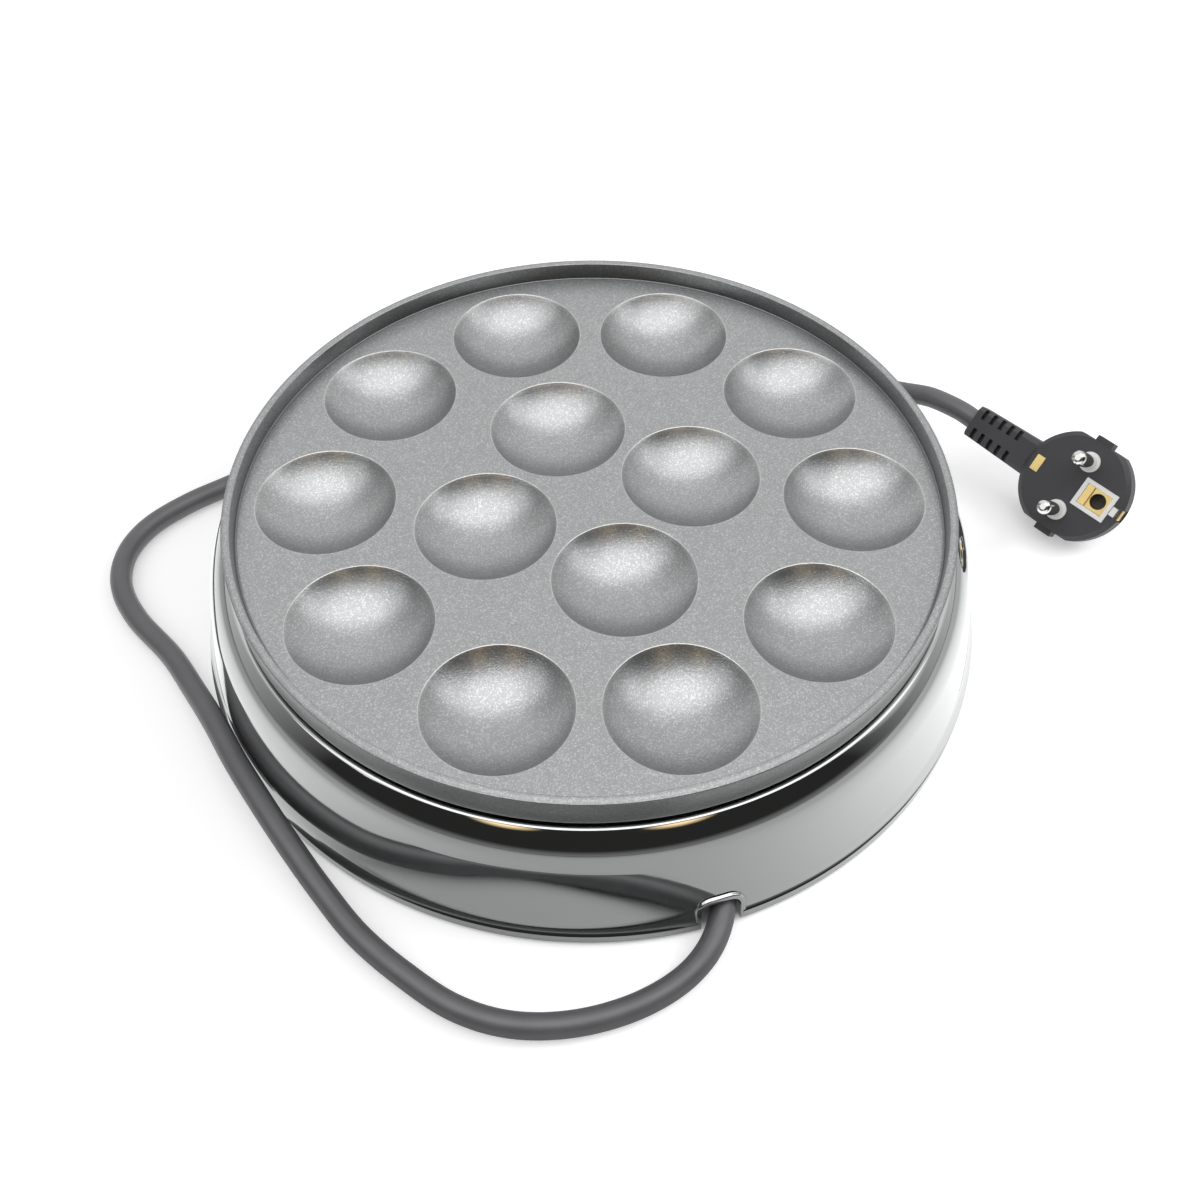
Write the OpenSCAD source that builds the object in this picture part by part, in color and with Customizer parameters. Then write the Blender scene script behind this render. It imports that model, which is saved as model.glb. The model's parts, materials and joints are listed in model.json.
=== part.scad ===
// Electric poffertjes maker: a dimpled cast baking plate on a chromed pressed base,
// with a snap-disc thermostat, a tubular element and a rubber mains lead.
// Millimetres, +Z up. The origin is on the table, under the middle of the base.

/* [Baking plate] */
// Outer diameter of the plate
plate_d = 221.6; // [216:0.2:230]
// Width of the flat land on top of the rim
rim_land = 2.6; // [2:0.1:4]
// Height of the rim above the plate's floor
rim_h = 5.6; // [4:0.2:7]
// How far the rim's inner wall leans inwards on its way down
rim_lean = 0.6; // [0.3:0.1:2.4]
// Size of the hollow corner between rim and floor
rim_fillet = 0.5; // [0.3:0.1:1.6]
// Height of the plate's outer side
side_h = 10.2; // [9:0.2:12]
// How far the outer side leans inwards on its way down
side_draft = 0.4; // [0:0.1:1]
// Chamfer on the plate's outer edges
plate_edge = 0.5; // [0.2:0.1:0.8]
// Thickness of the plate's floor between the dimples
floor_t = 4; // [3.5:0.1:5]
// Wall of the ring that centres the plate in the base
spigot_t = 3.6; // [2.6:0.2:4]
// How far that ring reaches down into the base
spigot_h = 4.6; // [3:0.2:6]
// Gap between that ring and the base's opening
spigot_gap = 0.5; // [0.3:0.1:0.8]

/* [Dimples] */
// Diameter of a dimple at the floor
dimple_d = 43.2; // [41:0.2:44]
// Depth of a dimple
dimple_depth = 10; // [9:0.5:11]
// Thickness of the casting under a dimple
dimple_wall = 3; // [2.5:0.1:3.2]
// Width of the broken edge round a dimple
dimple_edge = 0.6; // [0.3:0.1:1]
// Slope of that broken edge, in degrees
dimple_edge_slope = 25; // [20:1:30]
// Floor left between the outer dimples and the rim
dimple_margin = 4.4; // [1:0.1:6]
// Floor left between the two rings of dimples
ring_gap = 4.8; // [4.4:0.1:5.6]
// Dimples in the outer ring
outer_count = 10; // [10:1:10]
// Dimples in the inner ring
inner_count = 4; // [3:1:4]
// Turn of the inner ring, in degrees
inner_turn = 18; // [0:1:36]

/* [Base shell] */
// Thickness of the pressed sheet
sheet_t = 0.8; // [0.6:0.1:1]
// Height of the shell from the flange's foot to the ledge
base_h = 39.9; // [37:0.1:44]
// Diameter of the ledge's outer corner
ledge_d = 222.8; // [220:0.2:226]
// Width of the ledge that carries the plate
ledge_w = 6.6; // [6:0.2:8]
// Rounding of the ledge's outer corner
ledge_round = 1; // [1:0.1:1.8]
// Radius of the shoulder
shoulder_r = 20; // [17:0.5:24]
// Draft of the wall below the shoulder, in degrees
wall_draft = 10; // [8:0.5:12]
// Outer diameter of the foot flange
flange_d = 248.4; // [246:0.2:252]
// Height of the foot flange
flange_h = 3.1; // [2.6:0.1:4]
// Width of the flare between the wall and the foot flange
flange_w = 1.4; // [1.2:0.1:2]
// Direction that the flare faces, in degrees above the horizon
flare_turn = 45; // [40:1:55]
// Rounding of the foot flange's outer edge
flange_edge = 0.4; // [0.2:0.1:0.6]
// Gap between the flange's foot and the table
stand_gap = 1.5; // [1.2:0.1:3]

/* [Cord outlet] */
// Direction of the outlet, in degrees from +X
outlet_turn = 287; // [284:1:291]
// Clear width of the outlet
outlet_w = 11.4; // [10:0.1:12]
// Clear height of the outlet above the flange's foot
outlet_h = 10; // [8.6:0.1:11]
// Corner rounding of the outlet
outlet_round = 3.4; // [2:0.1:4]
// Wall of the outlet's collar
outlet_wall = 1.8; // [1.2:0.1:2.4]
// How far the collar stands proud of the flange
outlet_proud = 0.2; // [0.1:0.1:1]
// Lean of the outlet's mouth, in degrees
outlet_lean = 9; // [6:1:10]

/* [Gasket, cover and feet] */
// Thickness of the plate gasket
gasket_t = 1.2; // [0.8:0.1:2]
// Setback of the gasket from the plate's outer side
gasket_setback = 1.6; // [1:0.1:2.4]
// Thickness of the bottom cover
cover_t = 0.8; // [0.6:0.1:1]
// Gap between the cover's edge and the flange
cover_gap = 0.4; // [0.2:0.1:0.6]
// Number of vent slots in the cover
vent_count = 16; // [8:2:20]
// Length of a vent slot
vent_l = 14; // [8:1:16]
// Width of a vent slot
vent_w = 3; // [2:0.5:4]
// Distance of the vent slots' middle from the axis
vent_r = 40; // [36:1:42]
// Diameter of a rubber foot
foot_d = 16; // [12:0.5:18]
// Distance of a foot's middle from the cover's edge
foot_inset = 15; // [13:0.5:18]
// Diameter of a foot's stem
foot_stem_d = 6; // [4:0.5:8]

/* [Tie screws] */
// Diameter of a tie screw
tie_d = 4; // [3:0.5:5]
// Diameter of the plate's tie bosses and of the spacers
tie_boss_d = 9; // [8:0.5:10]
// Gap between a tie boss and the centring ring
tie_margin = 1.6; // [1:0.1:2.5]
// Clearance of a screw in its hole, all round
screw_gap = 0.15; // [0.1:0.05:0.25]

/* [Element and reflector] */
// Diameter of the tubular element
element_d = 6.5; // [6:0.1:6.6]
// Gap between the element and the plate, and between the element and its clamps
element_gap = 0.1; // [0.05:0.05:0.2]
// Bend radius of the element's legs
element_bend = 8; // [7:0.5:9]
// Length of a leg below its bend
element_leg = 11; // [9:0.5:13]
// Length of an end seal
seal_l = 5; // [4:0.5:7]
// Diameter of an end seal
seal_d = 8; // [7:0.5:9]
// Length of an element terminal
terminal_l = 7; // [5:0.5:8]
// Diameter of an element terminal
terminal_d = 3; // [2.5:0.1:3.4]
// Thickness of an element clamp
clamp_t = 1.2; // [0.8:0.1:2]
// Width of an element clamp
clamp_w = 8; // [7:0.5:10]
// Distance from the element to a clamp's screw
clamp_reach = 14; // [13:0.5:15]
// Thickness of the reflector
reflector_t = 0.6; // [0.4:0.1:1]
// Gap between the lowest dimple and the reflector
reflector_gap = 4.2; // [3.6:0.2:6]
// Height of the reflector's turned-up edge
reflector_edge = 4; // [3:0.5:6]

/* [Thermostat and fuse] */
// Height of the plate's thermostat boss
tstat_boss_h = 7; // [6:0.5:8]
// Diameter of the thermostat
tstat_d = 17; // [15:0.5:18]
// Height of the thermostat's cap
tstat_cap_h = 3.5; // [3:0.1:4]
// Height of the thermostat's body
tstat_body_h = 9; // [8:0.5:10]
// Length of the thermostat's blades
tstat_blade_l = 8; // [7:0.5:9]
// Distance of the thermostat's screws from its middle
tstat_screw_r = 12; // [12:0.5:13]
// Diameter of the thermal fuse
fuse_d = 4.2; // [4:0.1:5]
// Length of the thermal fuse
fuse_l = 11; // [9:0.5:12]

/* [Terminals] */
// Width, depth and height of the terminal block
block_size = [30, 15, 12]; // [8:0.5:36]
// Middle of the terminal block on the cover
block_at = [34, -62]; // [-70:0.5:70]
// Distance between two terminals
block_pitch = 9; // [8:0.5:10]
// Place of the earth screw on the cover
earth_at = [64, -66]; // [-70:0.5:70]

/* [Cord and plug] */
// Diameter of the cord
cord_d = 7.2; // [6.8:0.1:7.4]
// Diameter of an inner lead
lead_d = 2.6; // [2:0.1:2.8]
// Diameter of the plug's face
plug_d = 37; // [36:0.5:40]
// Depth of the plug's body behind its face
plug_depth = 15; // [14:0.5:16]
// Distance between the flats beside the plug's pins
plug_flats = 33; // [32:0.5:36]
// Distance from the plug's middle to the end of its sleeve
sleeve_reach = 42.4; // [40:0.2:48]
// Depth of the sleeve's axis behind the plug's face
sleeve_depth = 8; // [7:0.2:8.5]
// Width of the sleeve at its root
sleeve_root = 13.2; // [12:0.2:14]
// Width of the sleeve at its end
sleeve_end = 11.4; // [10:0.2:12]
// Number of slots in each row of the sleeve
slot_count = 5; // [3:1:5]
// Distance between two slots
slot_pitch = 3.5; // [3:0.1:3.8]
// Diameter of a plug pin
pin_d = 4.8; // [4.6:0.1:5]
// Length of a plug pin
pin_l = 19; // [17:0.5:20]
// Diameter of a pin's root inside the plug
pin_root_d = 4; // [3:0.2:4.4]
// Distance between the plug pins
pin_pitch = 19; // [18:0.5:19]

/* [Hidden] */
$fn = 64;
eps = 0.01;
// Levels, from the table up
z_flange = stand_gap;
z_deck = z_flange + flange_h - sheet_t;
z_cover = z_deck - cover_t;
z_ledge = z_flange + base_h;
z_seat = z_ledge + gasket_t;
z_rim = z_seat + side_h;
z_floor = z_rim - rim_h;
z_under = z_floor - floor_t;
z_bulge = z_floor - dimple_depth - dimple_wall;
z_reflector = z_bulge - reflector_gap;
z_spacer = z_reflector - reflector_t;
z_element = z_under - element_d / 2 - element_gap;
z_strap = z_under - element_d - 2 * element_gap;
z_tstat = z_under - tstat_boss_h;
z_body = z_tstat - tstat_cap_h;
z_blade = z_body - tstat_body_h;
z_blade_end = z_blade - tstat_blade_l;
z_leg = z_element - element_bend - element_leg;
z_terminal = z_leg - seal_l;

// Radii of the plate
plate_r = plate_d / 2;
floor_r = plate_r - rim_land - rim_lean - rim_fillet;
dimple_r = dimple_d / 2;
bowl_r = (dimple_r * dimple_r + dimple_depth * dimple_depth) / (2 * dimple_depth);
z_bowl = z_floor - dimple_depth + bowl_r;
outer_ring_r = floor_r - dimple_margin - dimple_r;
inner_ring_r = outer_ring_r - dimple_d - ring_gap;
half_step = 180 / outer_count;
opening_r = ledge_d / 2 - ledge_w;
spigot_r = opening_r - spigot_gap;

// Outline of the shell: a flared foot, a drafted wall, a round shoulder tangent to it, and a rounded
// ledge corner
flange_r = flange_d / 2;
wall_foot = [flange_r - flange_w, z_flange + flange_h + flange_w / tan(flare_turn)];
wall_out = [cos(wall_draft), sin(wall_draft)];
wall_up = [-sin(wall_draft), cos(wall_draft)];
ledge_corner = [ledge_d / 2, z_ledge];
corner_off = (ledge_corner - wall_foot) * wall_out;
corner_up = (ledge_corner - wall_foot) * wall_up;
wall_l = corner_up - sqrt(-2 * corner_off * shoulder_r - corner_off * corner_off);
shoulder_c = wall_foot + wall_l * wall_up - shoulder_r * wall_out;
round_z = z_ledge - ledge_round;
round_reach = shoulder_r - ledge_round;
round_off = sqrt(pow(round_reach, 2) - pow(round_z - shoulder_c[1], 2));
round_c = [shoulder_c[0] + round_off, round_z];
round_turn = atan2(round_z - shoulder_c[1], round_off);
function wall_x(z) = wall_foot[0] - (z - wall_foot[1]) * tan(wall_draft);
function polar(r, a) = [r * cos(a), r * sin(a)];

// Cover, feet and outlet
cover_r = flange_r - sheet_t - cover_gap;
cover_notch = 14;
foot_count = 4;
foot_turn = 45;
foot_taper = 1;
foot_bead = 1.2;
foot_bead_h = 1.6;
collar_l = 8;
mouth_l = 12;

// Tie screws, element and clamps stand on the lines between two outer dimples
tie_r = spigot_r - spigot_t - tie_boss_d / 2 - tie_margin;
tie_steps = [3, 7, 13, 17];
tie_head_d = 7.6;
tie_head_h = 2.2;
tie_grip = 9;
reflector_margin = 1;
element_r = (outer_ring_r + inner_ring_r) / 2;
element_start = 0;
element_turn = 324;
clamp_steps = [3, 9, 15];
clamp_r = element_r + clamp_reach;
clamp_boss_d = 6;
small_screw_d = 3;
small_head_d = 5.6;
small_head_h = 1.8;
small_grip = 6;
thread_spare = 0.5;
head_crown = 0.8;
drive_l = 0.6;
drive_w = 0.8;
drive_h = 0.5;
screw_past = 1.4;
leg_a = [element_r, -element_bend];
leg_b = polar(element_r, element_turn) + element_bend * [-sin(element_turn), cos(element_turn)];
leg_gap = 1;
leg_hole = seal_d / 2 + leg_gap;

// Thermostat, fuse and terminals
tstat_turn = 63;
tstat_ear_t = 0.8;
tstat_ear_w = 8;
tstat_room = 4;
tstat_step = 0.5;
blade_x = 5;
blade_w = 6.3;
blade_t = 0.8;
fuse_at = [27.5, -14];
fuse_lead_d = 1.4;
fuse_lead_l = 6;
clip_t = 0.8;
clip_gap = 0.1;
clip_w = 5;
clip_ear = 5.4;
clip_screw_d = 2.4;
clip_head_d = 3.6;
clip_head_h = 1.4;
clip_reach = 2;
clip_seat = 0.4;
z_fuse = z_spacer - fuse_d / 2 - clip_gap - clip_seat;
wire_hole_d = 4;
wire_grip = 5.5;
terminal_inset = 2.5;
terminal_h = 4;
terminal_gap = 0.1;
block_head_gap = 0.2;
block_head_drop = 3.4;
block_screw_past = 1.2;
z_wire = z_deck + block_size[2] / 2;
block_screw_x = block_pitch / 2;
earth_tag_d = 8;
earth_tag_t = 0.8;
earth_barrel = [4.8, 1.6];
earth_screw_d = 4;
touch = 0.1;

// Cord clamp on the cover
cord_r = cord_d / 2;
cord_at = [38, -92, 7.6];
cord_clamp_y = -98;
cord_clamp_w = 8;
cord_clamp_t = 1.6;
cord_clamp_ear = 9.4;
cord_clamp_gap = 0.3;
cord_clamp_lip = 3;

// Plug, lying on its side where the cord ends
plug_at = [162, 30.7, 19.7];
plug_yaw = 134.5;
plug_pitch = 3;
plug_roll = -48;
plug_back_d = 27;
plug_wall = 9;
plug_edge = 1.5;
plug_back_edge = 1;
plug_lug = [6, 2, 7];
plug_lug_drop = 1;
pocket = 1.2;
frame_depth = 6;
frame_sunk = 3;
clip_depth = 4;
clip_proud = 0.2;
blade_clip_t = 0.75;
blade_clip_gap = 0.3;
blade_clip_drop = 3.5;
socket_l = 4.6;
socket_lip = [2.6, 5.8];
ring_d = 7;
frame_size = [12.4, 10.3];
frame_x = -8.6;
frame_wall = 1.5;
socket_x = -9.6;
socket_hole_d = 5.4;
clip_size = [3, 5.6];
clip_x = 14.2;
tab_size = [2, 3.2];
tab_x = -15.9;
notch_size = [1.4, 4.4, 9];
slot_size = [1.5, 3.6, 2.6];
slot_end = 3;
slot_rim = 0.3;
sleeve_sunk = 6;
sleeve_bulk = 0.62;
sleeve_run = 8;
insert_proud = 0.25;
pin_gap = 0.05;
pin_tip = 0.9;

// The cord's route from its clamp to the plug's sleeve: out through the outlet, over the foot flange
// on the left, round a bend and behind the base, lying on the table
plug_axis = [cos(plug_yaw) * cos(plug_pitch), sin(plug_yaw) * cos(plug_pitch), sin(plug_pitch)];
plug_side = [-sin(plug_yaw), cos(plug_yaw), 0];
plug_face = cos(plug_roll) * cross(plug_axis, plug_side) - sin(plug_roll) * plug_side;
sleeve_mouth = plug_at + sleeve_reach * plug_axis - sleeve_depth * plug_face;
cord_route = [
    cord_at, cord_at - [0, 11, 0], [35.5, -120.9, 5.2], [27.8, -133.3, 4], [14.3, -142.5, 3.8],
    [-2.9, -147.8, 3.7], [-20.3, -148.3, 3.7], [-36, -143.6, 3.7], [-50.7, -134, 3.8],
    [-64.2, -122.7, 4.1], [-75.3, -110.1, 5.4], [-86, -96.7, 7.5], [-96, -83.2, 8.9],
    [-105.6, -69.3, 9.1], [-114.4, -55, 7.8], [-123.8, -40.8, 5.2], [-133.9, -26.6, 4],
    [-148, -11.4, 3.7], [-156, 2.3, 3.7], [-157.3, 16, 3.7], [-152, 28.8, 3.7], [-140, 40.3, 3.7],
    [-120.6, 53.6, 3.7], [-107.6, 69.7, 3.7], [-94.5, 88.9, 3.7], [-79.3, 109.1, 3.7],
    [-60.3, 124.9, 3.7], [-38.1, 135.4, 3.7], [-13.8, 140.1, 3.7], [11.1, 139.8, 3.7],
    [35.3, 135.5, 3.7], [56.6, 128.6, 3.7], [73.9, 120.3, 4], [88, 111.4, 4.3], [98, 101.9, 4.5],
    [106.1, 93.2, 7.7], [114, 85.6, 12], [122.3, 78.8, 15.7],
    sleeve_mouth + sleeve_run * plug_axis, sleeve_mouth
];

// A direction that no route runs along, from which a tube's rings are turned
tube_side = [0.3, 0.4, 0.9];

// Routes of the cores and inner leads
terminal_x = [for (i = [-1:1]) block_at[0] + i * block_pitch];
block_front = block_at[1] - block_size[1] / 2;
block_back = block_at[1] + block_size[1] / 2;
core_in = block_front + wire_grip;
lead_out = block_back - wire_grip;
beside = (terminal_d + lead_d) / 2 + touch;
fuse_end = fuse_l / 2 + fuse_lead_l;
earth_end = [earth_at[0], earth_at[1] + earth_barrel[0], z_deck + earth_barrel[1]];
core_live_route = [
    cord_at + [-1.8, 0, 0.9], cord_at + [-1.8, 4, 0.9], [30, -79, z_wire - 0.2],
    [terminal_x[0], block_front - 3, z_wire], [terminal_x[0], core_in, z_wire]
];
core_neutral_route = [
    cord_at + [0, 0, -1.6], cord_at + [0, 4, -1.6], [35.5, -79, z_wire - 0.8],
    [terminal_x[1], block_front - 3, z_wire], [terminal_x[1], core_in, z_wire]
];
core_earth_route = [
    cord_at + [1.8, 0, 0.9], cord_at + [1.8, 4, 0.9], [42.5, -79, z_wire - 0.2],
    [terminal_x[2], block_front - 3, z_wire], [terminal_x[2], core_in, z_wire]
];
lead_live_route = [
    [terminal_x[0], lead_out, z_wire], [terminal_x[0], block_back + 4, z_wire], [20, -38, 9.6],
    [7, -18, 9.6], [1 - blade_x, -5, 10.2], [-blade_x, 0, z_blade_end - 2.6], [-blade_x, 0, z_blade_end]
];
lead_fuse_route = [
    [blade_x, 0, z_blade_end], [blade_x, 0, z_blade_end - 3.2], [8, -6, 11],
    [10, fuse_at[1] + 2, 14], [10, fuse_at[1], z_fuse - 4.6],
    [fuse_at[0] - fuse_end - 3.5, fuse_at[1], z_fuse], [fuse_at[0] - fuse_end, fuse_at[1], z_fuse]
];
lead_element_route = [
    [fuse_at[0] + fuse_end, fuse_at[1], z_fuse], [fuse_at[0] + fuse_end + 3.5, fuse_at[1], z_fuse],
    [47, -12, 20.5],
    [leg_a[0] - 7.1, -10, z_terminal], [leg_a[0] - 3.7, leg_a[1] - 0.4, z_terminal - 2.4],
    [leg_a[0] - beside, leg_a[1], z_terminal - 4], [leg_a[0] - beside, leg_a[1], z_terminal - 6.5]
];
lead_neutral_route = [
    [terminal_x[1], lead_out, z_wire], [terminal_x[1], block_back + 4, z_wire], [38, -42, 9.2],
    [46.5, -33.5, 8.8], [leg_b[0], leg_b[1] - beside - 0.4, z_terminal - 4.4],
    [leg_b[0], leg_b[1] - beside, z_terminal - 1]
];
lead_earth_route = [
    [terminal_x[2], lead_out, z_wire], [terminal_x[2], block_back + 3.5, z_wire], [48, -47.5, 9],
    [57, -49.5, 6.8], [62.6, -54, 5.8], earth_end + [0, 2.8, 0], earth_end
];

// Points along a smooth curve through the given points
function ahead(p, i) = i < len(p) ? p[max(i, 0)] : 2 * p[len(p) - 1] - p[len(p) - 2];
function behind(p, i) = i < 0 ? 2 * p[0] - p[1] : p[i];
function between(a, b, c, d, t) =
    b + t / 2 * (c - a) + t * t * (a - 2.5 * b + 2 * c - d / 2) + t * t * t * (1.5 * (b - c) + (d - a) / 2);
function smooth(p, steps) = concat(
    [for (i = [0:len(p) - 2]) for (k = [0:steps - 1])
        between(behind(p, i - 1), p[i], p[i + 1], ahead(p, i + 2), k / steps)],
    [p[len(p) - 1]]
);

// Directions of the rings of a tube along a line, each turned as little as possible from the last
function unit(v) = v / norm(v);
function headings(p, route) = concat(
    [unit(route[1] - route[0])],
    [for (i = [1:len(p) - 2]) unit(p[i + 1] - p[i - 1])],
    [unit(route[len(route) - 1] - route[len(route) - 2])]
);
function square_to(v, t) = unit(v - (v * t) * t);
function ring_sides(t, i, side) =
    i == len(t) ? [] : let(s = square_to(side, t[i])) concat([s], ring_sides(t, i + 1, s));
function ring_points(p, t, r, sides, first) = let(side = ring_sides(t, 0, first))
    [for (i = [0:len(p) - 1]) for (j = [0:sides - 1]) let(a = 360 * j / sides)
        p[i] + r * (cos(a) * side[i] + sin(a) * cross(t[i], side[i]))];
function tube_faces(rings, sides) = concat(
    [for (j = [1:sides - 2]) [0, j, j + 1]],
    [for (i = [0:rings - 2]) for (j = [0:sides - 1]) for (half = [0, 1])
        let(a = i * sides + j, b = i * sides + (j + 1) % sides)
        half == 0 ? [a, a + sides, b + sides] : [a, b + sides, b]],
    [for (j = [1:sides - 2]) let(e = (rings - 1) * sides) [e, e + j + 1, e + j]]
);
module tube(route, d, sides, steps) {
    line = smooth(route, steps);
    turns = headings(line, route);
    polyhedron(ring_points(line, turns, d / 2, sides, tube_side), tube_faces(len(line), sides));
}
module lead(route, colour) {
    color(colour) tube(route, lead_d, 8, 2);
}

// Small repeated shapes
module at(r, a) {
    rotate(a) translate([r, 0, 0]) children();
}
module dimples() {
    for (i = [0:outer_count - 1]) at(outer_ring_r, 2 * half_step * i) children();
    for (i = [0:inner_count - 1]) at(inner_ring_r, inner_turn + 360 / inner_count * i) children();
}
module ties() {
    for (s = tie_steps) at(tie_r, half_step * s) children();
}
module clamps() {
    for (s = clamp_steps) at(clamp_r, half_step * s) children();
}
module tstat_screws_at() {
    for (a = [tstat_turn, tstat_turn + 180]) at(tstat_screw_r, a) children();
}
module fuse_screws_at() {
    for (s = [-1, 1]) translate([fuse_at[0], fuse_at[1] + s * clip_ear, 0]) children();
}
module cord_screws_at() {
    for (s = [-1, 1]) translate([cord_at[0] + s * cord_clamp_ear, cord_clamp_y, 0]) children();
}
module feet_at(i) {
    at(cover_r - foot_inset, foot_turn + 360 / foot_count * i) children();
}
module legs() {
    for (p = [leg_a, leg_b]) translate(p) children();
}

// A pan-head screw standing on its shank, with its head above z = 0
module screw(d, shank, head_d, head_h) {
    translate([0, 0, -shank]) cylinder(d = d, h = shank);
    difference() {
        cylinder(d1 = head_d, d2 = head_d * head_crown, h = head_h);
        for (a = [0, 90]) rotate(a) translate([-head_d * drive_l / 2, -drive_w / 2, head_h * drive_h])
            cube([head_d * drive_l, drive_w, head_h]);
    }
}

// Baking plate
module plate_outline() {
    polygon([
        [0, z_under], [spigot_r - spigot_t, z_under], [spigot_r - spigot_t, z_seat - spigot_h],
        [spigot_r, z_seat - spigot_h], [spigot_r, z_seat],
        [plate_r - side_draft - plate_edge, z_seat], [plate_r - side_draft, z_seat + plate_edge],
        [plate_r, z_rim - plate_edge], [plate_r - plate_edge, z_rim], [plate_r - rim_land, z_rim],
        [floor_r + rim_fillet, z_floor + rim_fillet],
        [floor_r + rim_fillet * 0.7, z_floor + rim_fillet * 0.3], [floor_r, z_floor], [0, z_floor]
    ]);
}
module bulge() {
    intersection() {
        translate([0, 0, z_bowl]) sphere(bowl_r + dimple_wall);
        translate([0, 0, z_bulge - 1]) cylinder(r = dimple_d, h = z_under + 0.5 - z_bulge + 1);
    }
}
module dimple() {
    edge_r = dimple_r + dimple_edge;
    run = 1 / tan(dimple_edge_slope);
    translate([0, 0, z_bowl]) sphere(bowl_r);
    translate([0, 0, z_floor - 1]) cylinder(r1 = edge_r - run, r2 = edge_r + run, h = 2);
}
module boss(d, foot) {
    translate([0, 0, foot]) cylinder(d = d, h = z_under + 0.5 - foot);
}
module thread(d, foot, depth) {
    translate([0, 0, foot - eps]) cylinder(r = d / 2 + screw_gap, h = depth);
}
module baking_plate() {
    color("#4a4a4c") difference() {
        union() {
            rotate_extrude() plate_outline();
            dimples() bulge();
            ties() boss(tie_boss_d, z_reflector);
            clamps() boss(clamp_boss_d, z_strap);
            boss(tstat_d, z_tstat);
            tstat_screws_at() boss(clamp_boss_d, z_tstat);
        }
        dimples() dimple();
        ties() thread(tie_d, z_reflector, tie_grip + thread_spare);
        clamps() thread(small_screw_d, z_strap, small_grip + thread_spare);
        tstat_screws_at() thread(small_screw_d, z_tstat, small_grip + thread_spare);
    }
}
module plate_gasket() {
    color("#1c1c1c") translate([0, 0, z_ledge]) difference() {
        cylinder(r = plate_r - side_draft - gasket_setback, h = gasket_t);
        translate([0, 0, -1]) cylinder(r = opening_r, h = gasket_t + 2);
    }
}

// Base shell: the pressed sheet's outline, from the flange's foot up to the ledge and back down inside
function arc(c, r, from, to, steps) = [for (i = [0:steps]) c + polar(r, from + (to - from) * i / steps)];
function shell_line(depth) = concat(
    arc(shoulder_c, shoulder_r - depth, wall_draft, round_turn, 14),
    arc(round_c, ledge_round - depth, round_turn + (90 - round_turn) / 4, 90, 3),
    [[opening_r, z_ledge - depth]]
);
function reversed(p) = [for (i = [len(p) - 1:-1:0]) p[i]];
module shell_outline() {
    skirt_r = flange_r - sheet_t;
    edge_c = [flange_r - flange_edge, z_flange + flange_h - flange_edge * tan(flare_turn / 2)];
    polygon(concat(
        [[skirt_r, z_flange], [flange_r, z_flange]],
        arc(edge_c, flange_edge, 0, flare_turn, 3),
        [wall_foot],
        shell_line(0),
        reversed(shell_line(sheet_t)),
        [[wall_x(z_deck) - sheet_t / cos(wall_draft), z_deck], [skirt_r, z_deck]]
    ));
}
module arch(grow) {
    w = outlet_w + 2 * grow;
    h = outlet_h + grow;
    r = outlet_round + grow;
    translate([-w / 2, 0]) square([w, h - r]);
    translate([-w / 2 + r, 0]) square([w - 2 * r, h]);
    for (s = [-1, 1]) translate([s * (w / 2 - r), h - r]) circle(r);
}
module outlet(grow, length) {
    rotate(outlet_turn) translate([flange_r - length, 0, z_flange]) rotate([90, 0, 90])
        linear_extrude(length + 2) arch(grow);
}
module base_shell() {
    inside = wall_x(z_flange) - sheet_t / 2;
    collar_h = outlet_h + outlet_wall + 2;
    mouth_r = flange_r + outlet_proud;
    lean = tan(wall_draft);
    color("#c9ccd0") difference() {
        union() {
            rotate_extrude() shell_outline();
            difference() {
                intersection() {
                    outlet(outlet_wall, collar_l);
                    translate([0, 0, z_flange])
                        cylinder(r1 = mouth_r, r2 = mouth_r - base_h * tan(outlet_lean), h = base_h);
                }
                translate([0, 0, z_flange - 1])
                    cylinder(r1 = inside + lean, r2 = inside - collar_h * lean, h = collar_h + 1);
            }
        }
        translate([0, 0, -eps]) outlet(0, mouth_l);
    }
}

// Bottom cover, feet and tie screws
module bottom_cover() {
    notch_w = outlet_w + 2 * outlet_wall + 2 * cover_gap;
    notch_r = wall_x(z_deck) - cover_notch;
    color("#9a9da1") translate([0, 0, z_cover]) difference() {
        cylinder(r = cover_r, h = cover_t);
        rotate(outlet_turn) translate([notch_r, -notch_w / 2, -1])
            cube([cover_r - notch_r + 1, notch_w, cover_t + 2]);
        for (i = [0:vent_count - 1]) rotate(360 * i / vent_count)
            translate([vent_r - vent_l / 2, -vent_w / 2, -1]) cube([vent_l, vent_w, cover_t + 2]);
        translate([0, 0, -1]) {
            ties() cylinder(r = tie_d / 2 + screw_gap, h = cover_t + 2);
            for (i = [0:foot_count - 1]) feet_at(i)
                cylinder(r = foot_stem_d / 2 + screw_gap, h = cover_t + 2);
            cord_screws_at() cylinder(r = small_screw_d / 2 + screw_gap, h = cover_t + 2);
            translate([block_at[0] - block_screw_x, block_at[1], 0])
                cylinder(r = small_screw_d / 2 + screw_gap, h = cover_t + 2);
            translate(earth_at) cylinder(r = earth_screw_d / 2 + screw_gap, h = cover_t + 2);
        }
    }
}
module foot(i) {
    color("#232323") feet_at(i) rotate_extrude() polygon([
        [0, 0], [foot_d / 2 - foot_taper, 0], [foot_d / 2, z_cover], [foot_stem_d / 2, z_cover],
        [foot_stem_d / 2, z_deck], [foot_stem_d / 2 + foot_bead, z_deck],
        [foot_stem_d / 2 - foot_taper, z_deck + foot_bead_h], [0, z_deck + foot_bead_h]
    ]);
}
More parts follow.
